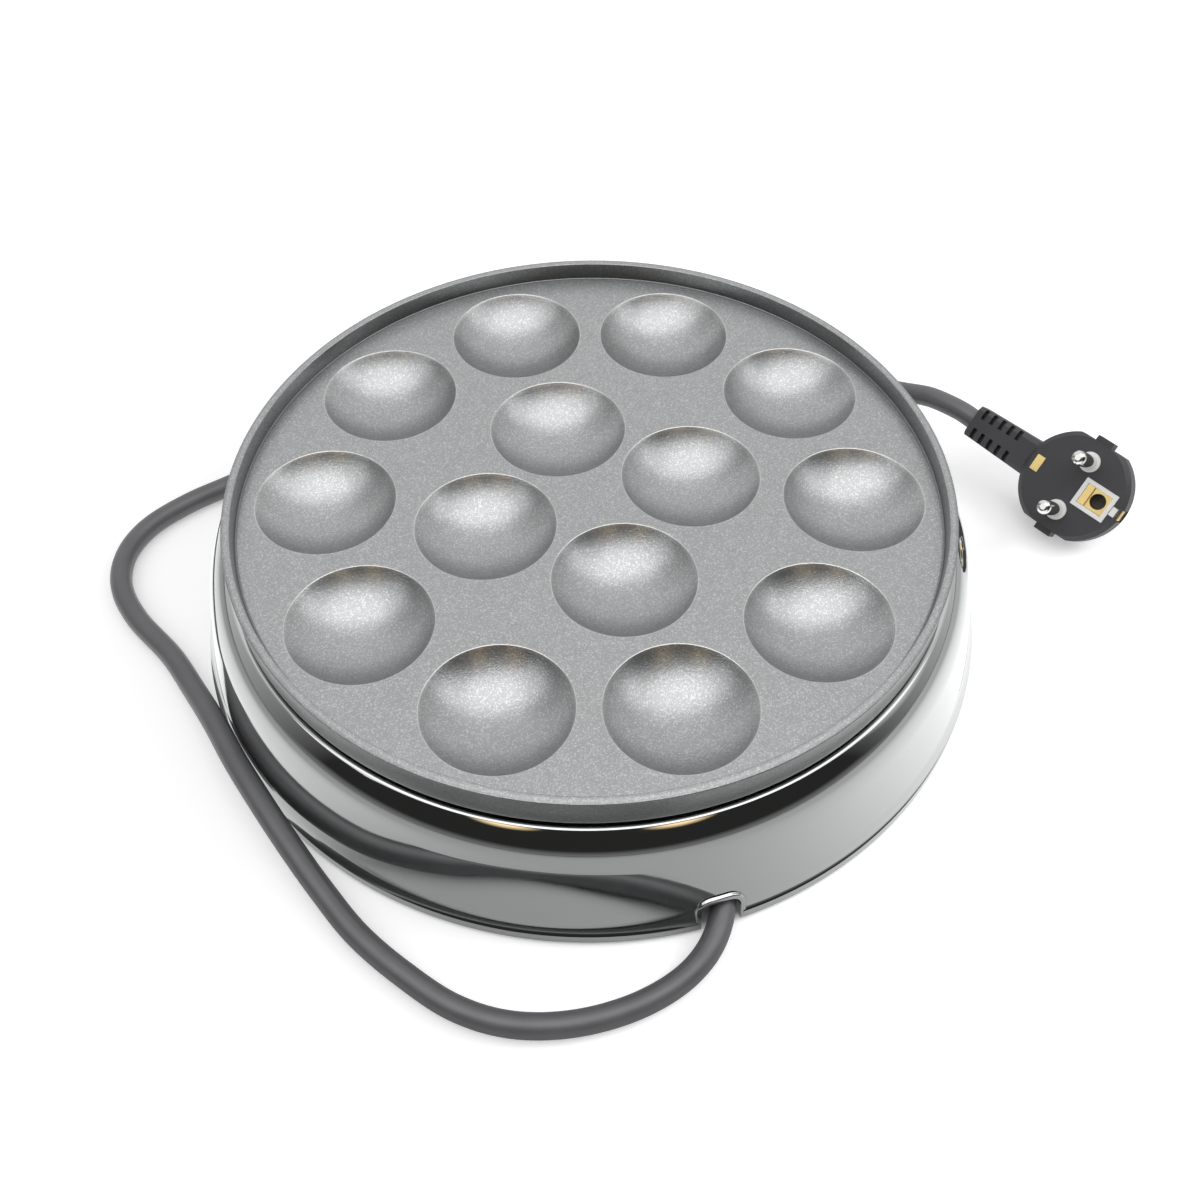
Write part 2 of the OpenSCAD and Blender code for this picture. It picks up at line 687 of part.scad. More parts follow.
module tie_spacer(i) {
    color("#b4b6b8") at(tie_r, half_step * tie_steps[i]) translate([0, 0, z_deck]) difference() {
        cylinder(d = tie_boss_d, h = z_spacer - z_deck);
        translate([0, 0, -1]) cylinder(r = tie_d / 2 + screw_gap, h = z_spacer - z_deck + 2);
    }
}
module tie_screws() {
    color("#8d9094") ties() translate([0, 0, z_cover]) mirror([0, 0, 1])
        screw(tie_d, z_reflector + tie_grip - z_cover, tie_head_d, tie_head_h);
}

// Reflector, element and clamps
module heat_reflector() {
    r = tie_r + tie_boss_d / 2 + reflector_margin;
    color("#d6d8da") difference() {
        translate([0, 0, z_spacer]) difference() {
            cylinder(r = r, h = reflector_edge);
            translate([0, 0, reflector_t]) cylinder(r = r - reflector_t, h = reflector_edge);
        }
        translate([0, 0, z_spacer - 1]) {
            cylinder(r = tstat_d / 2 + tstat_room, h = reflector_edge + 2);
            ties() cylinder(r = tie_d / 2 + screw_gap, h = reflector_t + 2);
            legs() cylinder(r = leg_hole, h = reflector_t + 2);
            fuse_screws_at() cylinder(r = clip_screw_d / 2 + screw_gap, h = reflector_t + 2);
        }
    }
}
module element_leg(end) {
    sphere(d = element_d + 2 * element_gap);
    translate([0, 0, -element_bend]) rotate([0, -90, 0]) mirror([0, end, 0]) rotate_extrude(angle = 90)
        translate([element_bend, 0]) circle(d = element_d);
    translate([0, (1 - 2 * end) * element_bend, -element_bend - element_leg])
        cylinder(d = element_d, h = element_leg);
}
module heating_element() {
    color("#5d5b58") translate([0, 0, z_element]) {
        rotate(element_start) rotate_extrude(angle = element_turn)
            translate([element_r, 0]) circle(d = element_d);
        at(element_r, element_start) element_leg(1);
        at(element_r, element_start + element_turn) element_leg(0);
    }
}
module element_end_seals() {
    color("#e9e4d8") translate([0, 0, z_terminal]) legs() difference() {
        cylinder(d = seal_d, h = seal_l);
        translate([0, 0, -1]) cylinder(r = terminal_d / 2 + screw_gap, h = seal_l + 2);
    }
}
module element_terminals() {
    color("#a8a9ab") translate([0, 0, z_terminal - terminal_l]) legs()
        cylinder(d = terminal_d, h = terminal_l + seal_l);
}
module element_clamp(i) {
    inner = element_r - element_d;
    color("#b9bbbd") rotate(half_step * clamp_steps[i]) translate([0, 0, z_strap - clamp_t]) difference() {
        union() {
            translate([inner, -clamp_w / 2, 0]) cube([clamp_r - inner, clamp_w, clamp_t]);
            translate([clamp_r, 0, 0]) cylinder(d = clamp_w, h = clamp_t);
        }
        translate([clamp_r, 0, -1]) cylinder(r = small_screw_d / 2 + screw_gap, h = clamp_t + 2);
    }
}
module element_clamp_screws() {
    color("#8d9094") clamps() translate([0, 0, z_strap - clamp_t]) mirror([0, 0, 1])
        screw(small_screw_d, clamp_t + small_grip, small_head_d, small_head_h);
}

// Thermostat and fuse
module thermostat_cap() {
    color("#c3c5c8") difference() {
        union() {
            translate([0, 0, z_body]) cylinder(d = tstat_d, h = tstat_cap_h);
            rotate(tstat_turn) translate([-tstat_screw_r, -tstat_ear_w / 2, z_tstat - tstat_ear_t])
                cube([2 * tstat_screw_r, tstat_ear_w, tstat_ear_t]);
            tstat_screws_at() translate([0, 0, z_tstat - tstat_ear_t])
                cylinder(d = tstat_ear_w, h = tstat_ear_t);
        }
        tstat_screws_at() translate([0, 0, z_tstat - tstat_ear_t - 1])
            cylinder(r = small_screw_d / 2 + screw_gap, h = tstat_ear_t + 2);
    }
}
module thermostat_body() {
    color("#2a2522") translate([0, 0, z_blade]) cylinder(r = tstat_d / 2 - tstat_step, h = tstat_body_h);
}
module thermostat_blades() {
    color("#c8b25e") for (s = [-1, 1]) translate([s * blade_x - blade_t / 2, -blade_w / 2, z_blade_end])
        cube([blade_t, blade_w, tstat_blade_l]);
}
module thermostat_screws() {
    color("#8d9094") tstat_screws_at() translate([0, 0, z_tstat - tstat_ear_t]) mirror([0, 0, 1])
        screw(small_screw_d, tstat_ear_t + small_grip, small_head_d, small_head_h);
}
module thermal_fuse() {
    color("#cdbb8e") translate([fuse_at[0], fuse_at[1], z_fuse]) rotate([0, 90, 0]) {
        translate([0, 0, -fuse_l / 2]) cylinder(d = fuse_d, h = fuse_l);
        translate([0, 0, -fuse_end]) cylinder(d = fuse_lead_d, h = 2 * fuse_end);
    }
}
module fuse_clip() {
    drop = z_spacer - z_fuse;
    color("#b9bbbd") difference() {
        translate([fuse_at[0] - clip_w / 2, fuse_at[1], z_fuse]) rotate([90, 0, 90]) linear_extrude(clip_w)
            difference() {
                union() {
                    circle(d = fuse_d + 2 * clip_gap + 2 * clip_t);
                    translate([-clip_ear - clip_reach, drop - clip_t])
                        square([2 * (clip_ear + clip_reach), clip_t]);
                }
                circle(d = fuse_d + 2 * clip_gap);
                translate([-fuse_d, drop]) square(2 * fuse_d);
            }
        fuse_screws_at() translate([0, 0, z_spacer - 3])
            cylinder(r = clip_screw_d / 2 + screw_gap, h = 4);
    }
}
module fuse_clip_screws() {
    color("#8d9094") fuse_screws_at() translate([0, 0, z_spacer - clip_t]) mirror([0, 0, 1])
        screw(clip_screw_d, clip_t + reflector_t + screw_past, clip_head_d, clip_head_h);
}

// Terminal block, earth and cord clamp
module terminal_block() {
    top = z_deck + block_size[2];
    color("#efe9dc") difference() {
        translate([block_at[0] - block_size[0] / 2, block_front, z_deck]) cube(block_size);
        for (x = terminal_x) {
            translate([x, block_front - 1, z_wire]) rotate([-90, 0, 0])
                cylinder(d = wire_hole_d, h = block_size[1] + 2);
            for (y = [core_in - terminal_inset, lead_out + terminal_inset]) translate([x, y, z_wire])
                cylinder(r = wire_hole_d / 2 + terminal_gap, h = top - z_wire + 1);
        }
        translate([block_at[0] - block_screw_x, block_at[1], z_deck - 1]) {
            cylinder(r = small_screw_d / 2 + screw_gap, h = block_size[2] + 2);
            translate([0, 0, block_size[2] + 1 - block_head_drop])
                cylinder(r = small_head_d / 2 + block_head_gap, h = block_head_drop + 1);
        }
    }
}
module terminal_screws() {
    foot = z_wire + lead_d / 2 + touch / 2;
    color("#c0a850") for (x = terminal_x) for (y = [core_in - terminal_inset, lead_out + terminal_inset])
        translate([x, y, foot]) cylinder(r = wire_hole_d / 2 - terminal_gap, h = terminal_h);
}
module block_screw() {
    seat = z_deck + block_size[2] - block_head_drop;
    color("#8d9094") translate([block_at[0] - block_screw_x, block_at[1], seat])
        screw(small_screw_d, seat - z_cover + block_screw_past, small_head_d, small_head_h);
}
module earth_tag() {
    barrel_r = earth_barrel[1] - touch;
    color("#c8b25e") translate([earth_at[0], earth_at[1], z_deck]) difference() {
        union() {
            cylinder(d = earth_tag_d, h = earth_tag_t);
            translate([-barrel_r, 0, 0]) cube([2 * barrel_r, earth_barrel[0], earth_tag_t]);
            translate([0, earth_barrel[0], earth_barrel[1]]) rotate([90, 0, 0])
                cylinder(r = barrel_r, h = earth_barrel[0] - earth_tag_d / 2);
        }
        translate([0, 0, -1]) cylinder(r = earth_screw_d / 2 + screw_gap, h = earth_tag_t + 2);
    }
}
module earth_screw() {
    color("#8d9094") translate([earth_at[0], earth_at[1], z_deck + earth_tag_t])
        screw(earth_screw_d, earth_tag_t + cover_t + screw_past, tie_head_d, tie_head_h);
}
module cord_clamp() {
    inner = cord_d / 2 + cord_clamp_gap;
    top = cord_at[2];
    color("#2c2c2e") difference() {
        translate([cord_at[0], cord_clamp_y + cord_clamp_w / 2, 0]) rotate([90, 0, 0])
            linear_extrude(cord_clamp_w) difference() {
                union() {
                    translate([0, top]) circle(inner + cord_clamp_t);
                    translate([-inner - cord_clamp_t, z_deck])
                        square([2 * (inner + cord_clamp_t), top - z_deck]);
                    translate([-cord_clamp_ear - cord_clamp_lip, z_deck])
                        square([2 * (cord_clamp_ear + cord_clamp_lip), cord_clamp_t]);
                }
                translate([0, top]) circle(inner);
                translate([-inner, z_deck - 2]) square([2 * inner, top - z_deck + 2]);
                translate([-2 * inner, z_deck - 2 * inner]) square([4 * inner, 2 * inner]);
            }
        cord_screws_at() translate([0, 0, z_deck - 1])
            cylinder(r = small_screw_d / 2 + screw_gap, h = cord_clamp_t + 2);
    }
}
module cord_clamp_screws() {
    color("#8d9094") cord_screws_at() translate([0, 0, z_deck + cord_clamp_t])
        screw(small_screw_d, cord_clamp_t + cover_t + screw_past, small_head_d, small_head_h);
}

// Cord and plug
module power_cord() {
    color("#3a3a3d") tube(cord_route, cord_d, 10, 2);
}
module on_plug() {
    translate(plug_at) rotate([plug_roll, -plug_pitch, plug_yaw]) children();
}
module plug_outline() {
    back_r = plug_back_d / 2;
    polygon([
        [0, -plug_depth], [back_r - plug_back_edge, -plug_depth], [back_r, plug_back_edge - plug_depth],
        [plug_d / 2, -plug_wall],
        [plug_d / 2, -plug_edge], [plug_d / 2 - plug_edge, 0], [0, 0]
    ]);
}
module sleeve() {
    root_x = plug_d / 2 - sleeve_sunk;
    l = sleeve_reach - root_x;
    half = sqrt(2) / 2;
    step = (sleeve_root - sleeve_end) / l;
    first = sleeve_reach - slot_end - slot_pitch * (slot_count - 1);
    translate([root_x, 0, -sleeve_depth]) rotate([0, 90, 0]) difference() {
        intersection() {
            rotate(45) cylinder(r1 = sleeve_root * half, r2 = sleeve_end * half, h = l, $fn = 4);
            cylinder(r1 = sleeve_root * sleeve_bulk, r2 = sleeve_end * sleeve_bulk, h = l);
        }
        for (i = [0:slot_count - 1]) for (side = [-1, 1]) for (face = [-1, 1]) {
            x = first + i * slot_pitch;
            reach = (sleeve_root - step * (x - root_x)) / 2;
            translate([face * reach, side * (reach - slot_size[1] / 2 - slot_rim), x - root_x])
                cube([2 * slot_size[2], slot_size[1], slot_size[0]], center = true);
        }
    }
}
module pin_at(s) {
    translate([0, s * pin_pitch / 2, 0]) children();
}
// A block on the plug's middle line, with its sides drawn in by a gap, from one level up to another
module block(x, size, gap, foot, top) {
    w = size - 2 * [gap, gap];
    translate([x - w[0] / 2, -w[1] / 2, foot]) cube([w[0], w[1], top - foot]);
}
module plug_body() {
    color("#2b2b2d") on_plug() difference() {
        union() {
            intersection() {
                rotate_extrude() plug_outline();
                translate([-plug_d, -plug_flats / 2, -plug_depth - 1])
                    cube([2 * plug_d, plug_flats, plug_depth + 2]);
            }
            translate([-plug_lug[0] / 2, -plug_flats / 2 - plug_lug[1], -plug_lug[2] - plug_lug_drop])
                cube([plug_lug[0], plug_flats + 2 * plug_lug[1], plug_lug[2]]);
            sleeve();
        }
        for (s = [-1, 1]) pin_at(s) {
            translate([0, 0, -pocket]) cylinder(d = ring_d, h = pocket + 1);
            translate([0, 0, -plug_wall]) cylinder(r = pin_root_d / 2 + pin_gap, h = plug_wall);
        }
        block(frame_x, frame_size, 0, -frame_depth, 1);
        block(clip_x, clip_size, 0, -clip_depth, 1);
        block(tab_x, tab_size, 0, -pocket, 1);
        translate([-plug_d / 2 - 1, -notch_size[1] / 2, -notch_size[2]])
            cube([notch_size[0] + 1, notch_size[1], notch_size[2] + 1]);
    }
}
module plug_insert() {
    h = pocket + insert_proud;
    color("#efefec") on_plug() {
        for (s = [-1, 1]) pin_at(s) translate([0, 0, -pocket]) difference() {
            cylinder(r = ring_d / 2 - pin_gap, h = h);
            translate([0, 0, -1]) cylinder(r = pin_root_d / 2 + pin_gap, h = h + 2);
        }
        difference() {
            block(frame_x, frame_size, pin_gap, -frame_sunk, insert_proud);
            block(frame_x, frame_size, frame_wall, -frame_depth, insert_proud + 1);
        }
        block(tab_x, tab_size, pin_gap, -pocket, insert_proud);
    }
}
module plug_pin(s) {
    tip = pin_tip;
    color("#d9d9dc") on_plug() pin_at(s) rotate_extrude() polygon([
        [0, -plug_wall], [pin_root_d / 2, -plug_wall], [pin_root_d / 2, insert_proud],
        [pin_d / 2, insert_proud],
        [pin_d / 2, pin_l - 2 * tip], [pin_d / 2 - 0.3 * tip, pin_l - tip],
        [pin_d / 2 - tip, pin_l - 0.3 * tip], [pin_d / 2 - 1.6 * tip, pin_l], [0, pin_l]
    ]);
}
module plug_earth_socket() {
    seat = frame_size - 2 * frame_wall * [1, 1];
    lip_x = frame_x + (seat[0] - socket_lip[0]) / 2;
    color("#c9a24a") on_plug() difference() {
        union() {
            block(frame_x, seat, touch, -frame_depth, socket_l - frame_depth);
            block(lip_x, [socket_lip[0], seat[1]], touch, -frame_depth, socket_lip[1] - frame_depth);
        }
        translate([socket_x, 0, -frame_depth - eps]) cylinder(d = socket_hole_d, h = frame_depth + 1);
    }
}
module plug_earth_clips() {
    color("#c9a24a") on_plug() {
        block(clip_x, clip_size, pin_gap, -clip_depth, clip_proud);
        translate([notch_size[0] - pin_gap - blade_clip_t - plug_d / 2, blade_clip_gap - notch_size[1] / 2,
            -notch_size[2]])
            cube([blade_clip_t, notch_size[1] - 2 * blade_clip_gap, notch_size[2] - blade_clip_drop]);
    }
}

baking_plate();
plate_gasket();
base_shell();
bottom_cover();
heat_reflector();
tie_screws();
for (i = [0:3]) foot(i);
for (i = [0:3]) tie_spacer(i);
heating_element();
element_end_seals();
element_terminals();
element_clamp_screws();
for (i = [0:2]) element_clamp(i);
thermostat_cap();
thermostat_body();
thermostat_blades();
thermostat_screws();
thermal_fuse();
fuse_clip();
fuse_clip_screws();
terminal_block();
terminal_screws();
block_screw();
earth_tag();
earth_screw();
cord_clamp();
cord_clamp_screws();
lead(core_live_route, "#6b4226");  // core_live
lead(core_neutral_route, "#2f5fa8");  // core_neutral
lead(core_earth_route, "#6f9a2d");  // core_earth
lead(lead_live_route, "#6b4226");  // lead_live
lead(lead_fuse_route, "#6b4226");  // lead_fuse
lead(lead_element_route, "#6b4226");  // lead_element
lead(lead_neutral_route, "#2f5fa8");  // lead_neutral
lead(lead_earth_route, "#6f9a2d");  // lead_earth
power_cord();
plug_body();
plug_insert();
plug_pin(-1);  // plug_pin_1
plug_pin(1);  // plug_pin_2
plug_earth_socket();
plug_earth_clips();
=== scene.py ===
"""Looks of a round electric poffertjes maker, dressed around its packed frame."""

import json
import math

import bmesh
import bpy
from bpy.props import FloatProperty, FloatVectorProperty, IntProperty, PointerProperty
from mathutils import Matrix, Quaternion, Vector


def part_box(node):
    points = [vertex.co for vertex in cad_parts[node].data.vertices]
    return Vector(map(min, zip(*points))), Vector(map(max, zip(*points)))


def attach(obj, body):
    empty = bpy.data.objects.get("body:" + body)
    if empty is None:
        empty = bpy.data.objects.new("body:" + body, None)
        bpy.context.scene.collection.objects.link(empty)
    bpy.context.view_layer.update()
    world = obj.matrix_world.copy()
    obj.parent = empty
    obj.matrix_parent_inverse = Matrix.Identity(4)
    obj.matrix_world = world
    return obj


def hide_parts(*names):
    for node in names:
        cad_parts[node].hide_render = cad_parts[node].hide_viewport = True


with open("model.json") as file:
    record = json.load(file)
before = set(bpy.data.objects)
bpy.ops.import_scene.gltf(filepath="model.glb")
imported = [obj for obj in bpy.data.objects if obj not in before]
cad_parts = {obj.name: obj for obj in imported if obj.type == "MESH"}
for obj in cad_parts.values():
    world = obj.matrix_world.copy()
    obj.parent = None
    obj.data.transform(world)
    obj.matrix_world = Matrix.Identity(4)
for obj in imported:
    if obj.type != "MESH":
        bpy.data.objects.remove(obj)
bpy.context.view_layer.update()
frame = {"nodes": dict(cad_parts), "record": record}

bl_info = {
    "name": "Poffertjes maker",
    "version": (1, 0, 0),
    "blender": (4, 5, 0),
    "location": "3D View > Sidebar > Poffertjes",
    "description": "A dimpled baking plate on a chromed base, with its mains lead and a studio",
    "category": "Object",
}

# The frame's own sizes, from which the pieces take theirs
PLATE_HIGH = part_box("baking_plate")[1]
SHELL_LOW, SHELL_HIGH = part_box("base_shell")
GASKET_LOW, GASKET_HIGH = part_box("plate_gasket")
NODES = frame["nodes"]
SLOTS = {part["node"]: part["material_slot"] for part in frame["record"]["subparts"]}
MM = 0.001

# From the gasket's outer edge in to the plate's centring ring
SPIGOT_INSET = 0.0045


# Settings


def length(name, description, default):
    return FloatProperty(name=name, description=description, default=default, min=0.0,
                         unit="LENGTH", precision=5)


def colour(name, description, default):
    return FloatVectorProperty(name=name, description=description, default=default, size=3,
                               subtype="COLOR", min=0.0, max=1.0)


def number(name, description, default):
    return IntProperty(name=name, description=description, default=default, min=1)


def turn(name, description, degrees):
    return FloatProperty(name=name, description=description, default=math.radians(degrees),
                         subtype="ANGLE")


class PlateSettings(bpy.types.PropertyGroup):
    """Sizes and colours of the baking plate"""
    radius: length("Radius", "Outer radius of the plate", PLATE_HIGH.x)
    top: length("Top", "Height of the rim's top above the table", PLATE_HIGH.z)
    seat: length("Seat", "Height of the plate's seat on its gasket", GASKET_HIGH.z)
    rim_land: length("Rim land", "Width of the flat top of the rim", 0.0026)
    land_fall: length("Land fall", "Fall of the rim's top to its outer edge", 0.00018)
    rim_height: length("Rim height", "Height of the rim above the floor", 0.0056)
    rim_lean: length("Rim lean", "How far the rim's inner wall leans in", 0.0006)
    rim_fillet: length("Rim fillet", "Hollow corner between rim and floor", 0.0005)
    edge_round: length("Edge rounding", "Rounding of the rim's edges", 0.0004)
    side_draft: length("Side draft", "How far the outer side leans in", 0.0004)
    floor_thickness: length("Floor", "Thickness of the floor", 0.004)
    spigot_radius: length("Spigot", "Outer radius of the centring ring", -GASKET_LOW.x - SPIGOT_INSET)
    spigot_wall: length("Spigot wall", "Wall of the centring ring", 0.0024)
    spigot_reach: length("Spigot reach", "From the rim's top down to the centring ring's foot", 0.0148)
    dimple_radius: length("Dimple radius", "Radius of a dimple at the floor", 0.0216)
    dimple_depth: length("Dimple depth", "Depth of a dimple", 0.010)
    dimple_wall: length("Dimple wall", "Wall under a dimple", 0.0012)
    lip_round: length("Lip rounding", "Rounding of a dimple's lip", 0.0005)
    dimple_margin: length("Dimple margin", "Floor between the outer dimples and the rim", 0.0044)
    ring_gap: length("Ring gap", "Floor between the two rings of dimples", 0.0048)
    outer_count: number("Outer dimples", "Dimples in the outer ring", 10)
    inner_count: number("Inner dimples", "Dimples in the inner ring", 4)
    inner_turn: turn("Inner turn", "Turn of the inner ring", 18.0)
    coating: colour("Coating", "Colour of the non-stick coating", (0.366, 0.373, 0.377))
    bare_metal: colour("Bare metal", "Colour where the coating has worn off an edge", (0.62, 0.61, 0.59))


class ShellSettings(bpy.types.PropertyGroup):
    """Sizes and colours of the pressed base"""
    flange_radius: length("Flange radius", "Outer radius of the foot flange", SHELL_HIGH.x)
    foot: length("Foot", "Height of the flange's foot above the table", SHELL_LOW.z)
    top: length("Top", "Height of the ledge above the table", SHELL_HIGH.z)
    sheet: length("Sheet", "Thickness of the pressed sheet", 0.0008)
    ledge_radius: length("Ledge radius", "Radius of the ledge's outer corner", 0.1114)
    ledge_width: length("Ledge width", "Width of the ledge that carries the plate", 0.0066)
    ledge_round: length("Ledge rounding", "Rounding of the ledge's corner", 0.0014)
    shoulder: length("Shoulder", "Radius of the shoulder", 0.020)
    wall_draft: turn("Wall draft", "Lean of the wall", 10.0)
    flange_height: length("Flange height", "Height of the foot flange", 0.0031)
    flange_width: length("Flange width", "Width of the flare between wall and flange", 0.0014)
    flare_turn: turn("Flare turn", "Slope of the flare between wall and flange", 45.0)
    flange_edge: length("Flange edge", "Rounding of the flange's outer edge", 0.0004)
    outlet_turn: turn("Outlet turn", "Direction of the cord outlet", 287.0)
    outlet_width: length("Outlet width", "Clear width of the cord outlet", 0.0114)
    outlet_height: length("Outlet height", "Clear height of the cord outlet", 0.010)
    outlet_round: length("Outlet rounding", "Corner rounding of the cord outlet", 0.0034)
    outlet_wall: length("Outlet wall", "Wall of the outlet's collar", 0.0018)
    outlet_proud: length("Outlet proud", "How far the collar stands proud of the flange", 0.0002)
    outlet_lean: turn("Outlet lean", "Lean of the outlet's mouth", 9.0)
    chrome: colour("Chrome", "Colour of the chrome plating", (0.565, 0.575, 0.572))


class LeadSettings(bpy.types.PropertyGroup):
    """Size and colour of the mains cord"""
    diameter: length("Diameter", "Diameter of the cord", 0.0072)
    rubber: colour("Rubber", "Colour of the cord", (0.085, 0.085, 0.091))


class StudioSettings(bpy.types.PropertyGroup):
    """Camera, light and floor"""
    lens: FloatProperty(name="Lens", description="Focal length of the camera", default=41.573,
                        min=1.0, unit="CAMERA")
    place: FloatVectorProperty(name="Camera place", description="Where the camera stands",
                               default=(0.00378, -0.29083, 0.35884), subtype="XYZ", unit="LENGTH")
    aim: FloatVectorProperty(name="Camera aim", description="Point on the table that it looks at",
                             default=(0.00294, 0.00183, 0.0), subtype="XYZ", unit="LENGTH")
    roll: turn("Camera roll", "Turn of the camera about its own axis", -0.437)
    floor: colour("Floor", "Colour of the floor", (0.80, 0.80, 0.80))
    # Painted shade: mirrors show the floor as this darker grey, not the white the camera sees
    floor_shade: colour("Floor shade", "The floor in front, as mirrors show it", (0.495, 0.505, 0.50))
    ambient: FloatProperty(name="Ambient", description="Strength of the light from all round",
                           default=0.45, min=0.0)


# Materials: every finish is a node material on Object coordinates


def shade(tint, factor):
    """A darker or lighter tone of a colour"""
    return tuple(min(1.0, part * factor) for part in tint)


class Finish:
    """A node material under construction"""

    def __init__(self, name, roughness=0.5, metallic=0.0):
        self.material = bpy.data.materials.new(name)
        self.material.use_nodes = True
        self.nodes = self.material.node_tree.nodes
        self.links = self.material.node_tree.links
        self.shader = self.nodes["Principled BSDF"]
        self.shader.inputs["Metallic"].default_value = metallic
        self.shader.inputs["Roughness"].default_value = roughness
        self.coords = self.nodes.new("ShaderNodeTexCoord").outputs["Object"]

    def feed(self, socket, value):
        """Links a socket to another node's output, or gives it a plain value"""
        if isinstance(value, bpy.types.NodeSocket):
            self.links.new(value, socket)
        else:
            socket.default_value = value

    def add(self, kind, sockets=None, **settings):
        """Adds a node with its settings and feeds its sockets"""
        node = self.nodes.new(kind)
        for key, value in settings.items():
            setattr(node, key, value)
        for key, value in (sockets or {}).items():
            self.feed(node.inputs[key], value)
        return node

    def noise(self, size, detail=2.0, roughness=0.5):
        """A noise whose lumps are about this size"""
        return self.add("ShaderNodeTexNoise", {"Vector": self.coords, "Scale": 1.0 / size,
                                               "Detail": detail, "Roughness": roughness}).outputs["Fac"]

    def span(self, value, low, high, start=0.0, stop=1.0):
        """Maps a value from start..stop to low..high"""
        return self.add("ShaderNodeMapRange", {"Value": value, "From Min": start, "From Max": stop,
                                               "To Min": low, "To Max": high}).outputs["Result"]

    def blend(self, factor, first, second):
        """Mixes two colours by a factor"""
        mix = self.add("ShaderNodeMix", data_type="RGBA")
        self.links.new(factor, mix.inputs["Factor"])
        for socket, value in ((mix.inputs[6], first), (mix.inputs[7], second)):
            self.feed(socket, value if isinstance(value, bpy.types.NodeSocket) else (*value, 1.0))
        return mix.outputs[2]

    def mottle(self, factor, tint, dark, light):
        """A colour that wanders between a darker and a lighter tone of itself"""
        return self.blend(factor, shade(tint, dark), shade(tint, light))

    def math(self, operation, first, second):
        """Works out one operation on two values"""
        return self.add("ShaderNodeMath", {0: first, 1: second}, operation=operation).outputs["Value"]

    def bump(self, height, strength, distance):
        """Roughens the surface by a height"""
        node = self.add("ShaderNodeBump", {"Height": height, "Strength": strength, "Distance": distance})
        self.links.new(node.outputs["Normal"], self.shader.inputs["Normal"])

    def set(self, **sockets):
        """Feeds the shader's sockets, named with low lines in place of spaces"""
        for key, value in sockets.items():
            self.feed(self.shader.inputs[key.replace("_", " ")], value)


# Flecks of the coating: cells to a metre, how strongly a cell shows by its draw, and how light it is
FLECKS_PER_METRE = 3000.0
FLECKS_SHOWN = {"low": 0.0, "high": 0.45, "start": 0.62, "stop": 1.0}
FLECK_LIGHT = 2.1

# Tone of the painted shade in the rim's corner, on the plate's side and at its seat, as a share of the
# coating's own
PAINTED_SHADE_DARK = 0.3


def coating_finish(plate):
    """Satin non-stick coating with fine bright flecks, worn to bare metal or darkened by painted shade where
    the mesh says so
    """
    made = Finish("nonstick_coating", metallic=0.95)
    grain = made.noise(size=0.0045, detail=3.0)
    ground = made.mottle(grain, plate.coating, dark=0.93, light=1.07)
    cells = made.add("ShaderNodeTexVoronoi", {"Vector": made.coords, "Scale": FLECKS_PER_METRE})
    draw = made.add("ShaderNodeSeparateColor", {"Color": cells.outputs["Color"]}).outputs["Red"]
    flecked = made.blend(made.span(draw, **FLECKS_SHOWN), ground, shade(plate.coating, FLECK_LIGHT))
    wear_and_shade = made.add("ShaderNodeAttribute", attribute_name="wear_and_shade").outputs["Fac"]
    patches = made.noise(size=0.012, detail=4.0, roughness=0.6)
    rub = made.span(patches, low=0.45, high=1.0, start=0.35, stop=0.6)
    worn = made.math("MULTIPLY", made.math("MAXIMUM", wear_and_shade, 0.0), rub)
    # Negative amounts of the attribute paint shade into the coating's colour
    shaded = made.blend(made.math("MULTIPLY", wear_and_shade, -1.0), flecked, shade(plate.coating, PAINTED_SHADE_DARK))
    made.set(Base_Color=made.blend(worn, shaded, tuple(plate.bare_metal)),
             Roughness=made.span(grain, low=0.29, high=0.35))
    made.bump(made.noise(size=0.0005, detail=1.0), strength=0.55, distance=0.00008)
    return made.material


def chrome_finish(shell):
    """Mirror chrome with the slight waves and wiping marks of a pressed sheet"""
    made = Finish("chrome_plating", metallic=1.0)
    smear = made.noise(size=0.03, detail=5.0, roughness=0.65)
    made.set(Base_Color=made.mottle(made.noise(size=0.06), shell.chrome, dark=0.97, light=1.03),
             Roughness=made.span(smear, low=0.035, high=0.085, start=0.35, stop=0.75))
    made.bump(made.noise(size=0.045, detail=1.0), strength=0.05, distance=0.0004)
    return made.material


def rubber_finish(name, tint, roughness=0.55, sheen=0.5):
    """Matt rubber, a little blotchy"""
    made = Finish(name)
    made.set(Base_Color=made.mottle(made.noise(size=0.011, detail=4.0), tint, dark=0.8, light=1.25),
             Roughness=made.span(made.noise(size=0.006, detail=3.0), roughness - 0.07, roughness + 0.07),
             Specular_IOR_Level=sheen)
    made.bump(made.noise(size=0.0009, detail=2.0), strength=0.15, distance=0.0001)
    return made.material


def metal_finish(name, tint, roughness=0.3):
    """Bare or plated metal with faint handling marks"""
    made = Finish(name, metallic=1.0)
    made.set(Base_Color=made.mottle(made.noise(size=0.009, detail=4.0), tint, dark=0.88, light=1.1),
             Roughness=made.span(made.noise(size=0.004, detail=3.0), roughness * 0.75, roughness * 1.25))
    made.bump(made.noise(size=0.0012, detail=3.0), strength=0.06, distance=0.00008)
    return made.material


def moulded_finish(name, tint, roughness=0.4):
    """Moulded plastic or ceramic with a fine grain"""
    made = Finish(name)
    made.set(Base_Color=made.mottle(made.noise(size=0.014, detail=3.0), tint, dark=0.93, light=1.05),
             Roughness=made.span(made.noise(size=0.003, detail=2.0), roughness - 0.06, roughness + 0.06))
    made.bump(made.noise(size=0.0008, detail=2.0), strength=0.08, distance=0.00008)
    return made.material


# Roughness of the record's metals
METALS = {"aluminium": 0.3, "brushed_steel": 0.32, "chrome": 0.08, "brass": 0.25, "nickel": 0.16}


